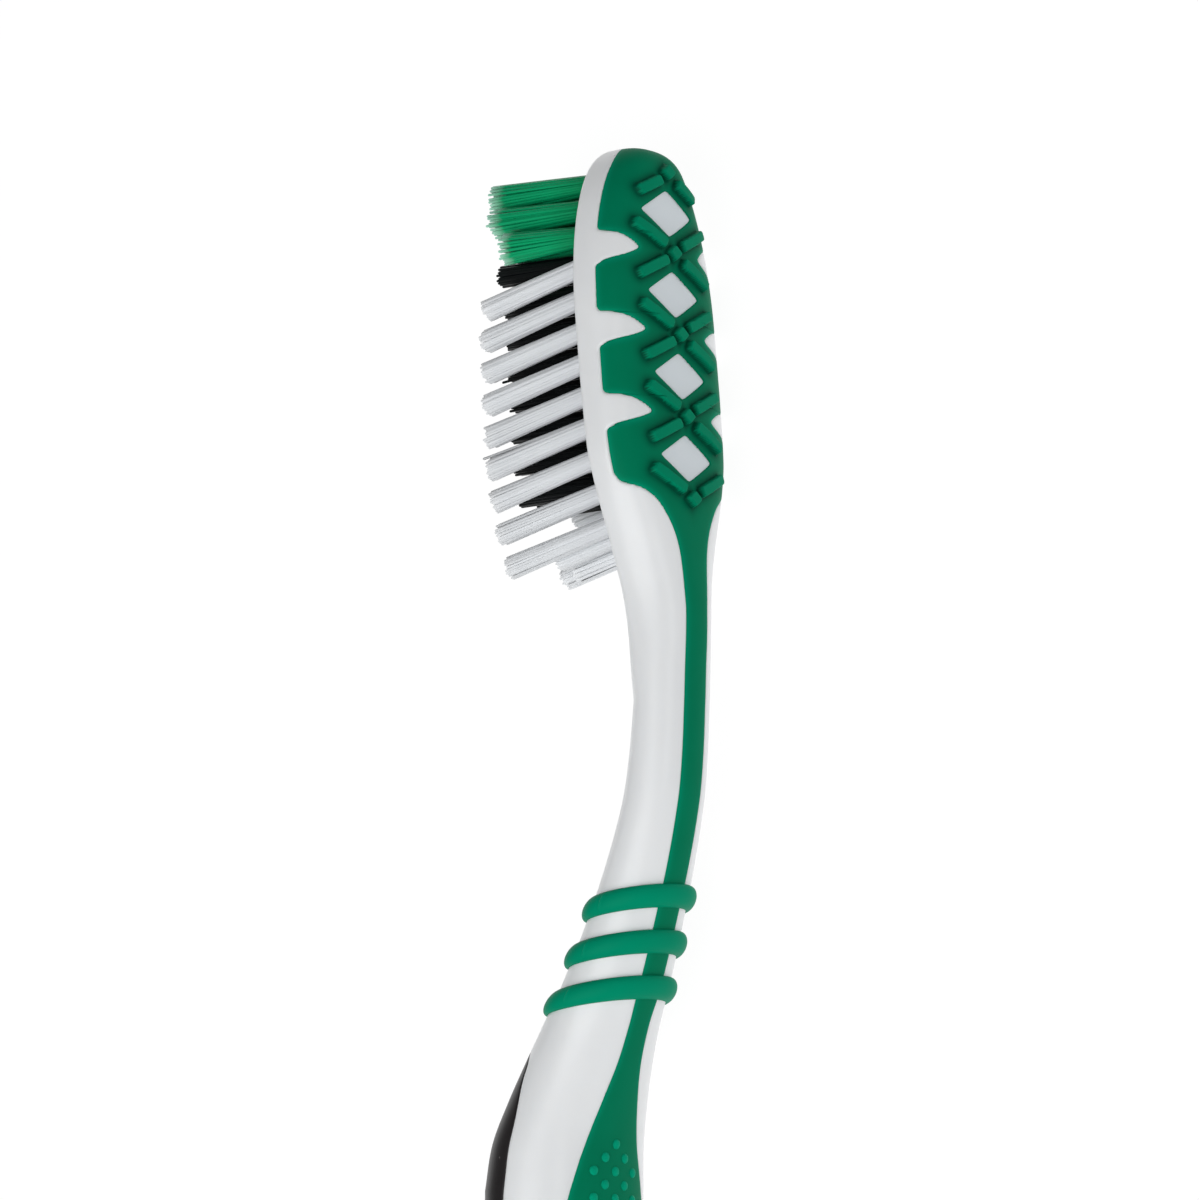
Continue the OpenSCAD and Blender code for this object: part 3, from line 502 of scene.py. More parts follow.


# %% [markdown]
# ### White polypropylene
#
# Polypropylene is a little milky: light enters it, spreads for a millimetre or so and comes out soft.
# Its mould is polished, so it shines in a broad, gentle way. In the windows of the pad, with green all
# round it, the white is painted a little cooler and darker as painted shade. An attribute on the mesh
# says where that is.

# %% Moulded polypropylene
polypropylene, tree, shader, where = new_material(
    "moulded_white_polypropylene", Roughness=0.3, IOR=1.49, Subsurface_Weight=0.25, Subsurface_Scale=1.2 * MM)
shader.inputs["Subsurface Radius"].default_value = (1, 0.95, 0.9)
# Painted shade: in the windows the white is mixed towards a cooler, darker grey.
painted_window_shade = add_node(tree, "ShaderNodeAttribute", attribute_name="painted_window_shade")
body_tone = grain(tree, shader, where, 0.25, 0.0015, 6, "#e6e8ea", "#eef0f1")
tone = add_node(tree, "ShaderNodeMix", {
    "Factor": painted_window_shade.outputs["Fac"], "A": body_tone, "B": colour("#d9e0e5")}, data_type="RGBA")
tree.links.new(tone.outputs["Result"], shader.inputs["Base Color"])
print("made", polypropylene.name)

# %% [markdown]
# ### Green and black elastomer
#
# The skins feel like soft rubber. Their mould is lightly blasted, which leaves a grain of about a tenth
# of a millimetre and a satin sheen. Where the green is thin, at the edges, bars and rings, light would
# come back from the white behind it. That brightening is painted light, mixed into the colour. One
# attribute on the mesh carries that painted light, and another says how near a point lies to the foot
# of a bar, where the rubber is painted darker as painted shade. A few pale specks are scattered over
# the black.

# %% Moulded elastomers
green_rubber, tree, shader, where = new_material(
    "moulded_green_elastomer", Roughness=0.42, IOR=1.5, Specular_IOR_Level=0.02)
body_tone = grain(tree, shader, where, 0.14, 0.003, 3, "#007150", "#007b58")
painted_light = add_node(tree, "ShaderNodeAttribute", attribute_name="painted_light")
# Painted light: the green is mixed towards a brighter tone at thin edges, rings, bar tops and dots.
bright = add_node(tree, "ShaderNodeMix", {
    "Factor": painted_light.outputs["Fac"], "A": body_tone, "B": colour("#00a27e")}, data_type="RGBA")
# Painted shade: near the foot of a bar the green is mixed towards a dark tone.
painted_bar_shade = add_node(tree, "ShaderNodeAttribute", attribute_name="painted_bar_shade")
depth = add_node(tree, "ShaderNodeMath", {0: painted_bar_shade.outputs["Fac"], 1: 0.95}, operation="MULTIPLY")
tone = add_node(tree, "ShaderNodeMix", {
    "Factor": depth.outputs["Value"], "A": bright.outputs["Result"], "B": colour("#004431")},
    data_type="RGBA")
tree.links.new(tone.outputs["Result"], shader.inputs["Base Color"])

black_rubber, tree, shader, where = new_material(
    "moulded_black_elastomer", Roughness=0.4, IOR=1.5, Specular_IOR_Level=0.35)
body_tone = grain(tree, shader, where, 0.16, 0.006, 3, "#171415", "#221f20")
specks = add_node(tree, "ShaderNodeTexVoronoi", {"Vector": where, "Scale": 1 / (1.4 * MM)}, feature="F1")
speck = add_node(tree, "ShaderNodeMapRange", {
    "Value": specks.outputs["Distance"], "From Min": 0.03, "From Max": 0.07, "To Min": 0.5, "To Max": 0})
tone = add_node(tree, "ShaderNodeMix", {
    "Factor": speck.outputs["Result"], "A": body_tone, "B": colour("#8d8a8a")}, data_type="RGBA")
tree.links.new(tone.outputs["Result"], shader.inputs["Base Color"])
print("made", green_rubber.name, "and", black_rubber.name)

# %% [markdown]
# ### Nylon filament
#
# A bristle is nylon drawn to 0.2 mm. It is slightly clear, so the green ones turn pale at their free
# ends, where no neighbours show through them, and darken where they crowd together at the root. In all
# three colours that pale end and dark root are painted light and painted shade. Each bristle also
# differs a little from the next.


# %% Drawn nylon in three colours
def drawn_nylon(name, root, middle, tip, roughness):
    """A filament's finish, with its colours at the root, half way up and at the end."""
    made, tree, shader, where = new_material(name, Roughness=roughness, IOR=1.53, Specular_IOR_Level=0.2)
    along = add_node(tree, "ShaderNodeAttribute", attribute_name="along")
    # Painted shade at the root and painted light at the free end, mixed into each filament's colour.
    ramp = add_node(tree, "ShaderNodeValToRGB", {"Fac": along.outputs["Fac"]})
    ramp.color_ramp.elements[0].position, ramp.color_ramp.elements[0].color = 0.0, colour(root)
    ramp.color_ramp.elements[1].position, ramp.color_ramp.elements[1].color = 1.0, colour(tip)
    for position in (0.5, 0.88):
        ramp.color_ramp.elements.new(position).color = colour(middle)
    shade = add_node(tree, "ShaderNodeAttribute", attribute_name="shade")
    tone = add_node(tree, "ShaderNodeMix", {
        "Factor": 1, "A": ramp.outputs["Color"], "B": shade.outputs["Color"]},
        data_type="RGBA", blend_type="MULTIPLY")
    tree.links.new(tone.outputs["Result"], shader.inputs["Base Color"])
    return made


green_nylon = drawn_nylon("drawn_green_nylon", "#067a48", "#00a66c", "#b0e2cc", 0.35)
black_nylon = drawn_nylon("drawn_black_nylon", "#070909", "#0c1011", "#141a1a", 0.3)
white_nylon = drawn_nylon("drawn_white_nylon", "#d8dbdf", "#e3e6e9", "#eaecee", 0.4)

nickel_silver, tree, shader, where = new_material("rolled_nickel_silver", Roughness=0.3, Metallic=1.0)
body_tone = grain(tree, shader, where, 0.1, 0.002, 0.5, "#b3a987", "#c6bd9c")
tree.links.new(body_tone, shader.inputs["Base Color"])
print("made", green_nylon.name, black_nylon.name, white_nylon.name, nickel_silver.name)


# %% [markdown]
# ## Making a piece
#
# Every piece is a mesh from points and faces, smooth all over, that rides with the brush's one body.
# It takes the place of its solid and carries its finish.


# %% Helpers that make pieces
def turn_outward(mesh):
    """Points the faces out of a closed mesh."""
    work = bmesh.new()
    work.from_mesh(mesh)
    bmesh.ops.recalc_face_normals(work, faces=work.faces)
    work.to_mesh(mesh)
    work.free()


def make_piece(name, points, faces, material, stands_for,
               floats=None, colours=None, crease=50, closed=True, normals=None):
    """A smooth mesh from points in millimetres, with its finish, in place of the solids named."""
    mesh = bpy.data.meshes.new(name)
    faces = faces.tolist() if isinstance(faces, np.ndarray) else faces
    mesh.from_pydata((np.asarray(points) * MM).tolist(), [], faces)
    if closed:
        turn_outward(mesh)
    mesh.polygons.foreach_set("use_smooth", [True] * len(mesh.polygons))
    mesh.set_sharp_from_angle(angle=math.radians(crease))
    for key, values in (floats or {}).items():
        mesh.attributes.new(key, "FLOAT", "POINT").data.foreach_set("value", np.asarray(values, np.float32))
    for key, values in (colours or {}).items():
        shades = np.asarray(values, np.float32).ravel()
        mesh.attributes.new(key, "FLOAT_COLOR", "POINT").data.foreach_set("color", shades)
    mesh.materials.append(material)
    mesh.update()
    if normals is not None:
        mesh.normals_split_custom_set_from_vertices(normals)
    piece = bpy.data.objects.new(name, mesh)
    bpy.context.scene.collection.objects.link(piece)
    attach(piece, BODY)
    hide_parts(*stands_for)
    print(name, len(mesh.vertices), "points", len(mesh.polygons), "faces")


def grid_faces(rows, columns, closed):
    """Four-cornered faces between neighbouring rows of points."""
    i, j = np.meshgrid(np.arange(rows - 1), np.arange(columns if closed else columns - 1), indexing="ij")
    a, b = i * columns + j, i * columns + (j + 1) % columns
    return np.stack([a, b, b + columns, a + columns], -1).reshape(-1, 4)


def runs(*rows):
    """Places along the brush, from rows that each give a start, an end and a step."""
    return np.concatenate([np.arange(*row) for row in rows])


def spread_angles(s, count, start=0.0, end=2 * math.pi, weight_of=None):
    """Angles of one section whose points lie evenly round it, or closer together where a weight is more."""
    fine = np.linspace(start, end, 1200)
    u, v, _, _ = around(s, fine)
    step = np.hypot(np.diff(u), np.diff(v))
    if weight_of:
        step = step * weight_of(s, (fine[1:] + fine[:-1]) / 2)
    run = np.r_[0, np.cumsum(step)]
    return np.interp(np.linspace(0, run[-1], count), run, fine)


# %% [markdown]
# ## The handle's white core
#
# The core runs from the nose to the butt. It is a stack of rings, one for each place along the brush,
# closer together on the head. Under the skins the rings sink into a bed, with a boss left standing
# under each window. At a skin's edge the white rolls over by a few hundredths of a millimetre, which
# draws the fine line that such a joint shows. Below the head, the points of a ring come in five arcs
# that meet at the edges of the skins, so that the line stays clean.

# %% The places of the rings, and how the core sinks
GROOVE_DEEP, GROOVE_HALF, WALL = 0.05, 0.22, 2.5
BED_AT_TIP, UNDER_PAD, BETWEEN_TUFTS, SPARSE = 0.15, 3, -0.45, 0.4


def rolled(s):
    """The white side of a joint, by the distance on to the skin. rolled(-s) is the skin's side."""
    return np.where(s < 0, -GROOVE_DEEP * np.clip(1 + s / GROOVE_HALF, 0, 1) ** 2, -GROOVE_DEEP - WALL * s)


def bed_depth(d):
    if d < PAD_END:
        return PAD_T * min(1, BED_AT_TIP + (1 - BED_AT_TIP) * d / (HEAD_T / 2))
    return STRIPE_T if d < RING_LAST else GRIP_T


def core_weight(s, angle):
    """Fewer points under the pad and between the bristles, where they are hidden."""
    hidden = (np.sin(angle) > 0) & (np.abs(s.a * np.cos(angle)) < UNDER_PAD)
    return np.where(hidden | (np.sin(angle) < BETWEEN_TUFTS), SPARSE, 1.0)


UNDER_BLACK, ON_SIDE, UNDER_GREEN = 21, 46, 34
ARCS = [(UNDER_BLACK, False, True), (ON_SIDE, True, True), (UNDER_GREEN, True, True), (ON_SIDE, True, True),
        (UNDER_BLACK, True, False)]
*EDGES, AROUND = np.cumsum([row[0] for row in ARCS]).tolist()
LEAST_SHARE, FULL_SHARE, EVEN_PART = 0.12, 0.9999, 0.1


def closing_in(count, first, last):
    """Shares from 0 to 1 that draw together at the first end, the last end or both."""
    t = np.arange(count) / count
    crowded = t * t * (3 - 2 * t) if first and last else 1 - (1 - t) ** 2 if last else t * t
    return EVEN_PART * t + (1 - EVEN_PART) * crowded


def edge_columns(s):
    """Angles of one ring in five arcs, which meet at the edges of the skins."""
    green = edge_angle(s, min(max(green_share(s), LEAST_SHARE), FULL_SHARE))
    fade = max(THUMB_START - s.d, s.d - THUMB_END, 0) / FLARE_L
    end_share = share_at_depth(s, THUMB_DEPTH[0][1]) * (1 + min(fade, 1))
    black = edge_angle(s, max(black_share(s), end_share), False)
    stops = [-math.pi / 2, -black, green, math.pi - green, math.pi + black, 3 * math.pi / 2]
    return np.concatenate([a + (b - a) * closing_in(*row) for a, b, row in zip(stops, stops[1:], ARCS)])


thumb_first = THUMB_START + 2 * np.linspace(0, 1, 20) ** 1.6
thumb_last = THUMB_END - 2 * np.linspace(1, 0, 20) ** 1.6
core_places = np.unique(np.round(np.r_[
    2.6 * np.linspace(0.06, 1, 34) ** 2.2,
    runs((2.72, 40, 0.16), (40, 71.4, 0.45), (73.7, 80, 0.2), (80, 119, 0.8), (119, 125.4, 0.2),
         (129, 175, 2), (175, GRIP_END - 0.5, 0.3), (GRIP_END + 0.6, BUTT_AT, 0.3)),
    thumb_first, thumb_last, THUMB_END + np.array([0.05, 0.12, 0.25, 0.6]),
    GRIP_END + 0.4 * np.linspace(-1, 1, 15) ** 3,
    BUTT_AT + BUTT_L * np.sin(np.linspace(0, 1, 26) ** 0.9 * math.pi / 2 * 0.985)], 4))
print("rings:", len(core_places), "points in a ring:", AROUND)

# %% One ring of the core
SETTLED_FROM, SETTLED_OVER = 29, 3
BOSS_OUT, BOSS_INSIDE, WINDOW_FADE = 0.2, 0.3, 0.3


def core_ring(d):
    """Points of one ring, and how far each lies into a window, from 0 to 1."""
    s = section(d)
    angle = spread_angles(s, AROUND + 1, -math.pi / 2, 3 * math.pi / 2, core_weight)[:-1]
    settled = float(smooth_step((d - SETTLED_FROM) / SETTLED_OVER))
    angle = angle + (edge_columns(s) - angle) * settled
    flat, u, sine = skin_points(s, angle, 0), around(s, angle)[0], np.sin(angle)
    lift, hole = np.zeros(AROUND), np.full(AROUND, -1.0)
    if d < GRIP_END + 1:
        on_green = (sine > 0) & (np.abs(u) < min(green_share(s), 1) * s.a) & (PAD_START < d < GRIP_END)
        gap = edge_distance(flat, green_edge, on_green)
        if settled == 1 and d < GRIP_END and green_share(s) > LEAST_SHARE:
            gap[EDGES[1:3]] = 0
        lift = np.maximum(rolled(gap), -bed_depth(d))
        if d < PAD_END:
            hole = window_distance(d, u)
            boss = -WINDOW_DEEP - WALL * np.maximum(-hole - BOSS_OUT, 0)
            lift = np.where(on_green & (gap > BOSS_INSIDE), np.maximum(lift, boss), lift)
    if THUMB_START - 1 < d < THUMB_END + 1:
        on_black = (sine < 0) & (np.abs(u) < black_share(s) * s.a)
        gap = edge_distance(flat, black_edge, on_black)
        if THUMB_START <= d <= THUMB_END:
            gap[[EDGES[0], EDGES[3]]] = 0
        lift = np.where(sine < 0, np.maximum(rolled(gap), -THUMB_T), lift)
    return skin_points(s, angle, lift), smooth_step((hole + WINDOW_FADE) / WINDOW_FADE)


# %% Build the core
core_points, window_shares = zip(*map(core_ring, core_places.tolist()))
ends = [np.mean(core_points[0], axis=0), np.mean(core_points[-1], axis=0)]
faces = grid_faces(len(core_places), AROUND, True)[:, ::-1].tolist()
last = len(core_places) * AROUND
faces += [[last, i, (i + 1) % AROUND] for i in range(AROUND)]
faces += [[last + 1, last - AROUND + (i + 1) % AROUND, last - AROUND + i] for i in range(AROUND)]
make_piece("white_core", np.vstack([*core_points, ends]), faces, polypropylene,
           ["handle_core"], floats={"painted_window_shade": np.r_[np.concatenate(window_shares), 0, 0]})

# %% [markdown]
# ## The green pad on the head
#
# The pad is a height field over the back of the head. On the head, its points lie less than a tenth
# of a millimetre apart. Each is lifted by the bars and knobs, sunk into the windows, and rolled over at
# the skin's edge. Faces that would lie off the skin are left out.

# %% Build the pad
PAD_AROUND, NOSE_OUT, SIDE_OUT, OFF_SKIN, IN_HOLE = 220, 0.15, 0.35, -0.2, 0.2
FLOOR_MORE, HOLE_OUT, HOLE_W, RAISE_OVER, SHADE_OVER = 0.2, 0.08, 0.14, 0.3, 0.6
PAD_EDGE_LIGHT, PAINTED_LIGHT_W, BAR_TOP_LIGHT = 0.35, 0.35, 0.2


def skin_lift(s, angle, gap):
    """The skin's lift, what the bars add, how far inside a window it is, and the painted shade near a bar's
    foot.
    """
    u = around(s, angle)[0]
    hole = window_distance(s.d, u)
    height, near = relief(s.d, u)
    lift = rolled(-gap)
    lift = lift + (-(WINDOW_DEEP + FLOOR_MORE) - lift) * smooth_step((hole + HOLE_OUT) / HOLE_W)
    return lift, height * smooth_step(gap / RAISE_OVER), hole, near * (height < BAR_H / 2)


pad_places = np.r_[PAD_START - NOSE_OUT + 2.4 * np.linspace(0, 1, 34) ** 2,
                   runs((2.6, 31, 0.085), (31, PAD_END, 0.25)), PAD_END]
pad_points, keep, painted_lights, painted_bar_shades = [], [], [], []
for d in pad_places:
    s = section(float(d))
    half = min(green_share(s), 1)
    e = edge_angle(s, min(half + SIDE_OUT / s.a, FULL_SHARE))
    angle = spread_angles(s, PAD_AROUND, e, math.pi - e)
    inside = (np.abs(around(s, angle)[0]) < half * s.a) & (d > PAD_START)
    gap = edge_distance(skin_points(s, angle, 0), green_edge, inside)
    lift, raised, hole, painted_bar_shade = skin_lift(s, angle, gap)
    pad_points.append(skin_points(s, angle, np.maximum(lift, -PAD_T), raised))
    # Painted shade near the foot of each bar, fading in from the skin's edge.
    painted_bar_shades.append(painted_bar_shade * smooth_step(gap / SHADE_OVER))
    keep.append((gap > OFF_SKIN) & (hole < IN_HOLE))
    # Painted light: brighter along the skin's edge and on the raised bars.
    painted_lights.append(PAD_EDGE_LIGHT * np.exp(-(np.maximum(gap, 0) / PAINTED_LIGHT_W) ** 2) + BAR_TOP_LIGHT * raised / BAR_H)
keep = np.concatenate(keep)
faces = grid_faces(len(pad_points), PAD_AROUND, False)[:, ::-1]
faces = faces[keep[faces].all(1)]
used = np.unique(faces)
renumber = np.full(len(keep), -1)
renumber[used] = np.arange(len(used))
make_piece("tongue_pad", np.vstack(pad_points)[used], renumber[faces], green_rubber,
           ["tongue_cleaner_pad"], closed=False,
           floats={"painted_light": np.concatenate(painted_lights)[used], "painted_bar_shade": np.concatenate(painted_bar_shades)[used]})

# %% [markdown]
# ## The stripe, the back grip and the thumb grip
#
# Below the head the skins are plain bands. Each is a closed strip: an outer face that follows the
# handle's outline, rolled over at both edges, and an inner face down in its bed. The rows of points
# run along the edges, so the rolled edge stays clean where the band widens.


# %% How a band is built
BAND_AROUND, INNER_STEP, LEAST_BAND, INNER_T, DOT_LIGHT = 61, 5, 0.004, 0.5, 0.75


def band(name, places, ends, share_of, back, depth, material, stands_for, edge_light=0.3, extra=None):
    """A skin as a closed strip. ends says whether its first and its last end are rolled over too."""
    points, floats = [], []
    across = (1 - np.cos(np.linspace(0, math.pi, BAND_AROUND))) / 2
    for d in places:
        s = section(float(d))
        e = edge_angle(s, min(max(share_of(s), LEAST_BAND), FULL_SHARE), back)
        angle = (1 if back else -1) * (e + (math.pi - 2 * e) * across)
        run = run_along(skin_points(s, angle, 0))
        gap = np.minimum(run, run[-1] - run)
        for rolls, end in zip(ends, (places[0], places[-1])):
            gap = np.minimum(gap, abs(d - end)) if rolls else gap
        outer = skin_points(s, angle, rolled(-gap))
        inner = skin_points(s, angle[::-1][::INNER_STEP], -min(depth, INNER_T + run[-1] / 4))
        points.append(np.vstack([outer, inner]))
        # Painted light along the rolled edges; none on the inner face.
        floats.append(np.r_[edge_light * np.exp(-(gap / PAINTED_LIGHT_W) ** 2), np.zeros(len(inner))])
    count = len(points[0])
    top = (len(points) - 1) * count
    faces = grid_faces(len(points), count, True).tolist()
    faces += [list(range(count)), list(range(top, top + count))]
    points, floats = np.vstack(points), np.concatenate(floats)
    if extra:
        faces += [[i + len(points) for i in face] for face in extra[1]]
        # The dots carry a painted highlight.
        points, floats = np.vstack([points, extra[0]]), np.r_[floats, np.full(len(extra[0]), DOT_LIGHT)]
    make_piece(name, points, faces, material, stands_for, floats={"painted_light": floats})


# %% [markdown]
# The back grip carries rows of small raised dots for the hand to hold. Each is a low dome that grows
# out of the skin. Being domes, they catch the light, and a painted highlight makes them a little brighter.


# %% Points and faces of the dots
DOT_RINGS, DOT_CORNERS, DOT_MORE, DOT_IN, DOTS_ASIDE = 6, 16, 1.1, 0.02, 2


def dot_spots():
    """Places of the dots. Every other row is set off by half a step, and both ends taper."""
    last_row = DOT_FIRST + (DOT_ROWS - 1) * DOT_PITCH
    for row in range(DOT_ROWS):
        d = DOT_FIRST + row * DOT_PITCH
        room = min(d - DOT_FIRST, last_row - d) * DOT_STEP / 2 / DOT_PITCH + DOT_D / 2
        s = section(d)
        limit = min(room, s.a * green_share(s) - DOT_D)
        for k in range(-DOTS_ASIDE, DOTS_ASIDE + 1):
            side = (k + (row % 2) / 2) * DOT_STEP
            if abs(side) <= limit:
                yield d, side


def dots():
    points, faces = [], []
    for d, side in dot_spots():
        start = len(points)
        for i in range(DOT_RINGS + 1):
            tilt = math.pi / 2 * i / DOT_RINGS
            reach, up = DOT_D / 2 * math.sin(tilt), DOT_H * DOT_MORE * math.cos(tilt) - DOT_IN
            for j in range(DOT_CORNERS if i else 1):
                turn = 2 * math.pi * j / DOT_CORNERS
                s, aside = section(d + reach * math.cos(turn)), side + reach * math.sin(turn)
                angle = edge_angle(s, min(abs(aside) / s.a, FULL_SHARE))
                points.append(skin_points(s, np.array([angle if aside > 0 else math.pi - angle]), up)[0])
        ring = 1 + start + grid_faces(DOT_RINGS, DOT_CORNERS, True)
        faces += [[start, a_next, a] for a, a_next, _, _ in ring[:DOT_CORNERS].tolist()] + ring.tolist()
    print("dots:", len(points) // (1 + DOT_RINGS * DOT_CORNERS))
    return np.array(points), faces


# %% Build the bands
band("stripe_skin", np.r_[runs((PAD_END, RING_LAST, 0.3)), RING_LAST], (False, False), green_share, True,
     STRIPE_T, green_rubber, ["neck_stripe"])
back_places = np.r_[runs((RING_LAST, 92, 0.25), (92, 176, 0.8), (176, GRIP_END - 0.4, 0.2)),
                    GRIP_END - 0.4 * np.linspace(1, 0.02, 9) ** 2]
band("back_grip_skin", back_places, (False, True), green_share, True,
     GRIP_T, green_rubber, ["back_grip"], extra=dots())
thumb_places = np.r_[thumb_first, runs((THUMB_START + 2.3, THUMB_END - 2, 0.4)), thumb_last]
band("thumb_grip_skin", thumb_places, (True, True), black_share, False,
     THUMB_T, black_rubber, ["thumb_grip"], edge_light=0)

# %% [markdown]
# ## Three rings on the neck
#
# Each ring is a half-round rib of the same green rubber that runs all the way round the neck and leans
# a little. The two halves of its mould met on the near side and on the far side, and that left a fine
# raised line across the rib. A half circle swept round the neck's outline makes the rib, and a narrow
# bump on the sweep makes the line.

# %% Build the rings
RING_AROUND, RING_PROFILE, RING_FOOT, RING_MORE = 360, 18, 0.01, 0.05
SEAM_H, SEAM_W, RING_LIGHT = 0.06, 0.05, 0.4


def ring_points(k):
    home = section(RING_FIRST + k * RING_PITCH)
    profile = np.linspace(0, math.pi, RING_PROFILE)
    lean, slant = math.tan(math.radians(RING_LEAN)), math.tan(math.radians(RING_SLANT))
    points = []
    for t in spread_angles(home, RING_AROUND + 1)[:-1]:
        p = skin_points(home, np.array([t]), 0)[0]
        nearer = lean * (DEPTH_MID - p[1] - home.w) - slant * (p[2] - HEAD_HALF)
        seam = SEAM_H * math.exp(-(math.sin(t) * home.a / SEAM_W) ** 2)
        ups = RING_FOOT + (RING_H + RING_MORE + seam) * np.sin(profile)
        for off, up in zip(RING_W / 2 * np.cos(profile), ups):
            points.append(skin_points(section(home.d - nearer + off), np.array([t]), up)[0])
    return np.array(points)


for k, which in enumerate(("upper", "middle", "lower")):
    points = ring_points(k)
    faces = grid_faces(RING_AROUND + 1, RING_PROFILE, True) % len(points)
    # Each ring carries an even painted light.
    make_piece(f"ring_{which}", points, faces, green_rubber, [f"neck_ring_{which}"],
               floats={"painted_light": np.full(len(points), RING_LIGHT)})

# %% [markdown]
# ## The bristles
#
# A machine folds a bunch of filaments in half round a flat metal anchor and drives both into a hole in
# the head. The free ends are then trimmed and rounded. So a tuft is round at the root, opens slightly
# towards its end, and is never cut quite level. Three short tufts close the heel, just behind the last
# of the side tufts. The filaments stand in a close hexagon pattern. Each is
# a thin tube of five sides, slightly bent, with a rounded end, and they all carry a shade of their own.
#
# Clear filaments pass light on to each other, so a bunch is shaded almost like one round body. Real
# light paths through 50 filaments would take long to render. Here the normals of each filament are
# leaned towards the outside of its tuft instead.

# %% Sizes of the tufts and where they stand
TUFT_R, FILAMENT_D, FILAMENT_PITCH, SPLAY, RAGGED, ROOT_IN = 0.83, 0.22, 0.19, 0.22, 0.4, 0.6
TUFT_PITCH, COLUMN_STEP, TIP_PITCH, SIDE_IN = 2.6, 2.5, 2.34, 1.85
INNER_FIRST, INNER_ROWS, SIDE_FIRST, SIDE_ROWS = 9.4139, 8, 10.2199, 9
TUFT_L, SIDE_GROWTH, SIDE_LEAN, TIP_SPLAY = 10.9, 0.1, 5.7, 0.8
TIP_ROWS = [(1, 0.3, 12.3), (2, 0.3, 11.3), (3, 0.4, 9.3)]  # steps across, shift along, length
HEEL_L, HEEL_MORE, HEEL_OUTER, HEEL_MIDDLE, HEEL_SIDE = 7.6, 3, 31.4, 32.3, 1.8

inner_lean, side_lean = math.radians(HEAD_LEAN - INNER_LEAN), math.radians(HEAD_LEAN + SIDE_LEAN)
tip_spots = [(INNER_FIRST - (4 - r) * TIP_PITCH + shift, (k - r / 2) * COLUMN_STEP, length)
             for r, shift, length in TIP_ROWS for k in range(r + 1)]
inner_spots = {name: [(INNER_FIRST + TUFT_PITCH * k, side, TUFT_L) for k in range(INNER_ROWS)]
               for name, side in (("left", -COLUMN_STEP), ("center", 0), ("right", COLUMN_STEP))}
side_places = [SIDE_FIRST + TUFT_PITCH * k for k in range(SIDE_ROWS)]
side_spots = {name: [(d, hand * (half_width(d) - SIDE_IN), TUFT_L + SIDE_GROWTH * k)
                     for k, d in enumerate(side_places)] for name, hand in (("left", -1), ("right", 1))}
heel_spots = [(HEEL_OUTER, -HEEL_SIDE, HEEL_L + HEEL_MORE), (HEEL_MIDDLE, 0, HEEL_L),
              (HEEL_OUTER, HEEL_SIDE, HEEL_L)]
print("tufts:", sum(map(len, [tip_spots, *inner_spots.values(), *side_spots.values(), heel_spots])))


# %% Filaments of one tuft
STEPS, SIDES, TEETH, ALL_TEETH, TUFT_ROUND, END_W, END_L = 7, 5, 5, 4.999, 0.6, 0.55, 0.05
JITTER, UNEVEN, SWAY, STRAY_SHARE, STRAY_SWAY, DARKEST = 0.015, 0.22, 0.03, 0.02, 8, 0.94
ROWS_OUT, OVER_EDGE = 5, 0.02


def hexagon_spots():
    """Places in a close hexagon pattern, inside a tuft's hole."""
    rows = range(-ROWS_OUT, ROWS_OUT + 1)
    spots = [((column + (row % 2) / 2) * FILAMENT_PITCH, row * FILAMENT_PITCH * math.sqrt(3) / 2)
             for row in rows for column in rows]
    return np.array([spot for spot in spots if math.hypot(*spot) <= TUFT_R - FILAMENT_D / 2 + OVER_EDGE])


def tuft(d, side, length, tilt, splay, luck):
    """Points, places along, shades and normals of one tuft's filaments."""
    s = section(d)
    root = place(d, s.w - s.front, side)
    out, over, across = np.array([[-math.sin(tilt), math.cos(tilt), 0], [math.cos(tilt), math.sin(tilt), 0],
                                  [0, 0, 1]])
    turned = luck.uniform(0, math.pi)
    spin = np.array([[math.cos(turned), -math.sin(turned)], [math.sin(turned), math.cos(turned)]])
    teeth = luck.uniform(0, RAGGED, TEETH)
    points, along, shades, normals = [], [], [], []
    spots = hexagon_spots()
    for spot in spots @ spin.T + luck.normal(0, JITTER, spots.shape):
        tooth = teeth[int((math.atan2(spot[1], spot[0]) + math.pi) / (2 * math.pi) * ALL_TEETH)]
        reach = length - tooth - luck.uniform(0, UNEVEN)
        bend = luck.normal(0, SWAY, 2) * (STRAY_SWAY if luck.random() < STRAY_SHARE else 1)
        shade = luck.uniform(DARKEST, 1.0)
        for i in range(STEPS + 2):
            end, t = i > STEPS, min(i / STEPS, 1)
            thick = FILAMENT_D / 2 * (END_W if end else 1)
            rise = -ROOT_IN + (reach + ROOT_IN) * t + (END_L if end else 0)
            middle = spot * (1 + splay * t) + bend * t * t
            for j in range(SIDES):
                turn = 2 * math.pi * j / SIDES
                ring = np.array([math.cos(turn), math.sin(turn)])
                at, faced = middle + thick * ring, (1 - TUFT_ROUND) * ring + TUFT_ROUND * spot / TUFT_R
                points.append(root + rise * out + at[0] * over + at[1] * across)
                normals.append(faced[0] * over + faced[1] * across)
                along.append(t)
                shades.append((shade, shade, shade, 1))
    return points, along, shades, normals


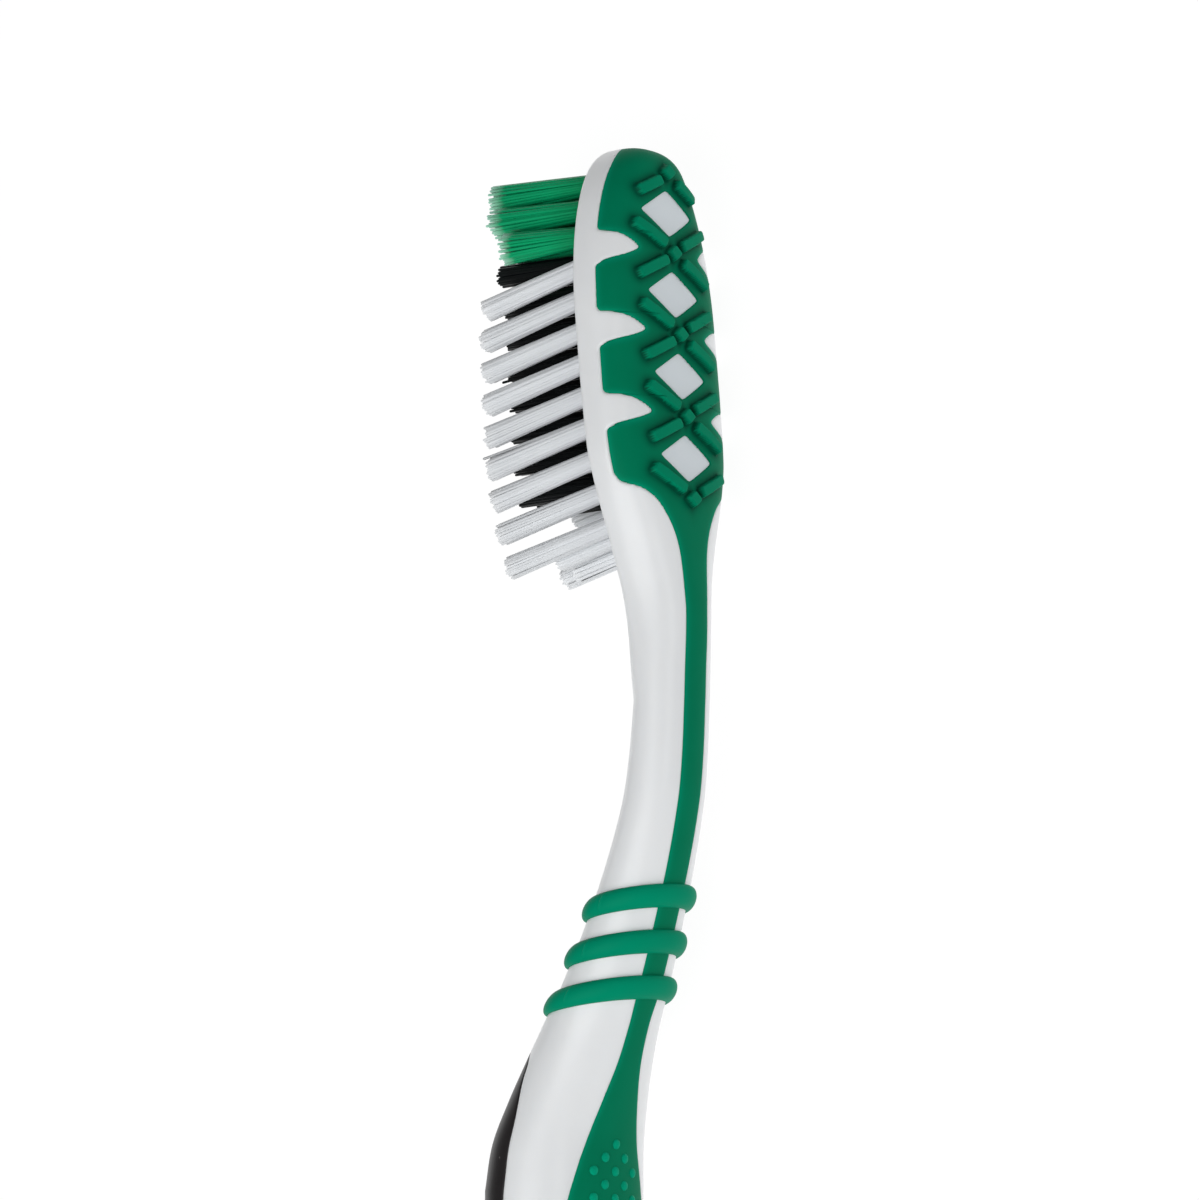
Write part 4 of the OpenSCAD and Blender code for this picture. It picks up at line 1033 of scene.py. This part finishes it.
def bristles(name, spots, tilt, material, seed, splay=SPLAY):
    """One group of tufts as one piece, in place of the solid of the same group."""
    luck = np.random.default_rng(seed)
    tufts = [tuft(*spot, tilt, splay, luck) for spot in spots]
    points, along, shades, normals = (sum(parts, []) for parts in zip(*tufts))
    top, faces = (STEPS + 1) * SIDES, []
    for first in range(0, len(points), top + SIDES):
        faces += (first + grid_faces(STEPS + 2, SIDES, True)).tolist()
        faces += [list(range(cap, cap + SIDES)) for cap in (first, first + top)]
    make_piece(name, points, faces, material, [name.replace("bristles", "tufts")], crease=180,
               floats={"along": along}, colours={"shade": shades},
               normals=np.array(normals) / np.linalg.norm(normals, axis=1, keepdims=True))


# %% Plant the tufts
bristles("tip_bristles", tip_spots, inner_lean, green_nylon, 1, TIP_SPLAY)
for seed, (name, spots) in enumerate(inner_spots.items(), 10):
    bristles(f"inner_bristles_{name}", spots, inner_lean, black_nylon, seed)
for seed, (name, spots) in enumerate(side_spots.items(), 20):
    bristles(f"side_bristles_{name}", spots, side_lean, white_nylon, seed)
bristles("heel_bristles", heel_spots, side_lean, white_nylon, 30)

# %% [markdown]
# ## The anchors
#
# The anchors are small flat strips of nickel silver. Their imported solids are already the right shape,
# so they stay, and only take a metal's finish. They lie in the holes, where the tufts hide them.

# %% Finish the anchors
anchors = [solid for name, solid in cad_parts.items() if "staples" in name]
for solid in anchors:
    solid.data.materials.clear()
    solid.data.materials.append(nickel_silver)
print("anchors in metal:", len(anchors))

# %% [markdown]
# ## The studio
#
# The brush lies on a light table: a pale sheet that is lit from below, so that shadows hardly show on
# it and the ground comes out white. Weak white surroundings fill in the rest. The Standard view keeps a
# colour as it was given, which suits a product on white.

# %% Table and surroundings
TABLE_HALF, TABLE_AT, TABLE_GLOW, SURROUNDINGS_GLOW = 2, -2e-5, 0.95, 0.15
corners = [(TABLE_HALF * x, TABLE_HALF * y, TABLE_AT) for x, y in ((-1, -1), (1, -1), (1, 1), (-1, 1))]
table_mesh = bpy.data.meshes.new("table")
table_mesh.from_pydata(corners, [], [(0, 1, 2, 3)])
table = bpy.data.objects.new("table", table_mesh)
bpy.context.scene.collection.objects.link(table)
table_finish, tree, shader, where = new_material(
    "matt_white_table", Roughness=0.9, Emission_Strength=TABLE_GLOW, Specular_IOR_Level=0.1)
shader.inputs["Base Color"].default_value = colour("#505050")
shader.inputs["Emission Color"].default_value = colour("#ffffff")
table_mesh.materials.append(table_finish)

world = bpy.data.worlds.new("white_surroundings")
world.use_nodes = True
world.node_tree.nodes["Background"].inputs["Color"].default_value = colour("#ffffff")
world.node_tree.nodes["Background"].inputs["Strength"].default_value = SURROUNDINGS_GLOW
bpy.context.scene.world = world
bpy.context.scene.view_settings.view_transform = "Standard"
print("table", 2 * TABLE_HALF, "m wide, glowing at", TABLE_GLOW)

# %% [markdown]
# A large soft lamp hangs over the brush, towards its butt. It keeps the flat of the head a little
# darker than the rim, so that the bars and windows read clearly. A thin, weaker strip lamp behind the
# brush's back only draws the small highlights along the bars, knobs and rings.

# %% Lamps
def area_lamp(name, far, way, **settings):
    """An area lamp so many millimetres off the brush in one direction, and the way back to the brush."""
    data = bpy.data.lights.new(name, "AREA")
    for key, value in settings.items():
        setattr(data, key, value)
    made = bpy.data.objects.new(name, data)
    bpy.context.scene.collection.objects.link(made)
    made.location = (LOOK_AT + far * Vector(way).normalized()) * MM
    print(name, "at", [round(v, 3) for v in made.location])
    return made, LOOK_AT * MM - made.location


lamp, to_brush = area_lamp("soft_lamp", 740, (-0.45, -0.12, 0.87), shape="DISK", size=1.0, energy=5.6)
lamp.rotation_euler = to_brush.to_track_quat("-Z", "Y").to_euler()

strip, to_brush = area_lamp("strip_lamp", 800, (0.18, -0.86, 0.46), shape="RECTANGLE", size=0.5,
                            size_y=0.06, energy=0.5)
back = -to_brush.normalized()
across = Vector((1, 0, 0)).cross(back).normalized()
turned = Matrix((across.cross(back), across, back)).transposed().to_4x4()
strip.matrix_world = Matrix.Translation(strip.location) @ turned
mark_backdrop(table, lamp, strip)

# %% [markdown]
# ## Last look
#
# The box round the dressed brush is printed here, in the same way as the box round the imported solids
# at the start. They should agree to within a filament or so.

# %% Measure and finish
dressed_box = [list(map(float, corner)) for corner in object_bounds()]
print("dressed box in mm:", [[round(v / MM, 2) for v in c] for c in dressed_box])
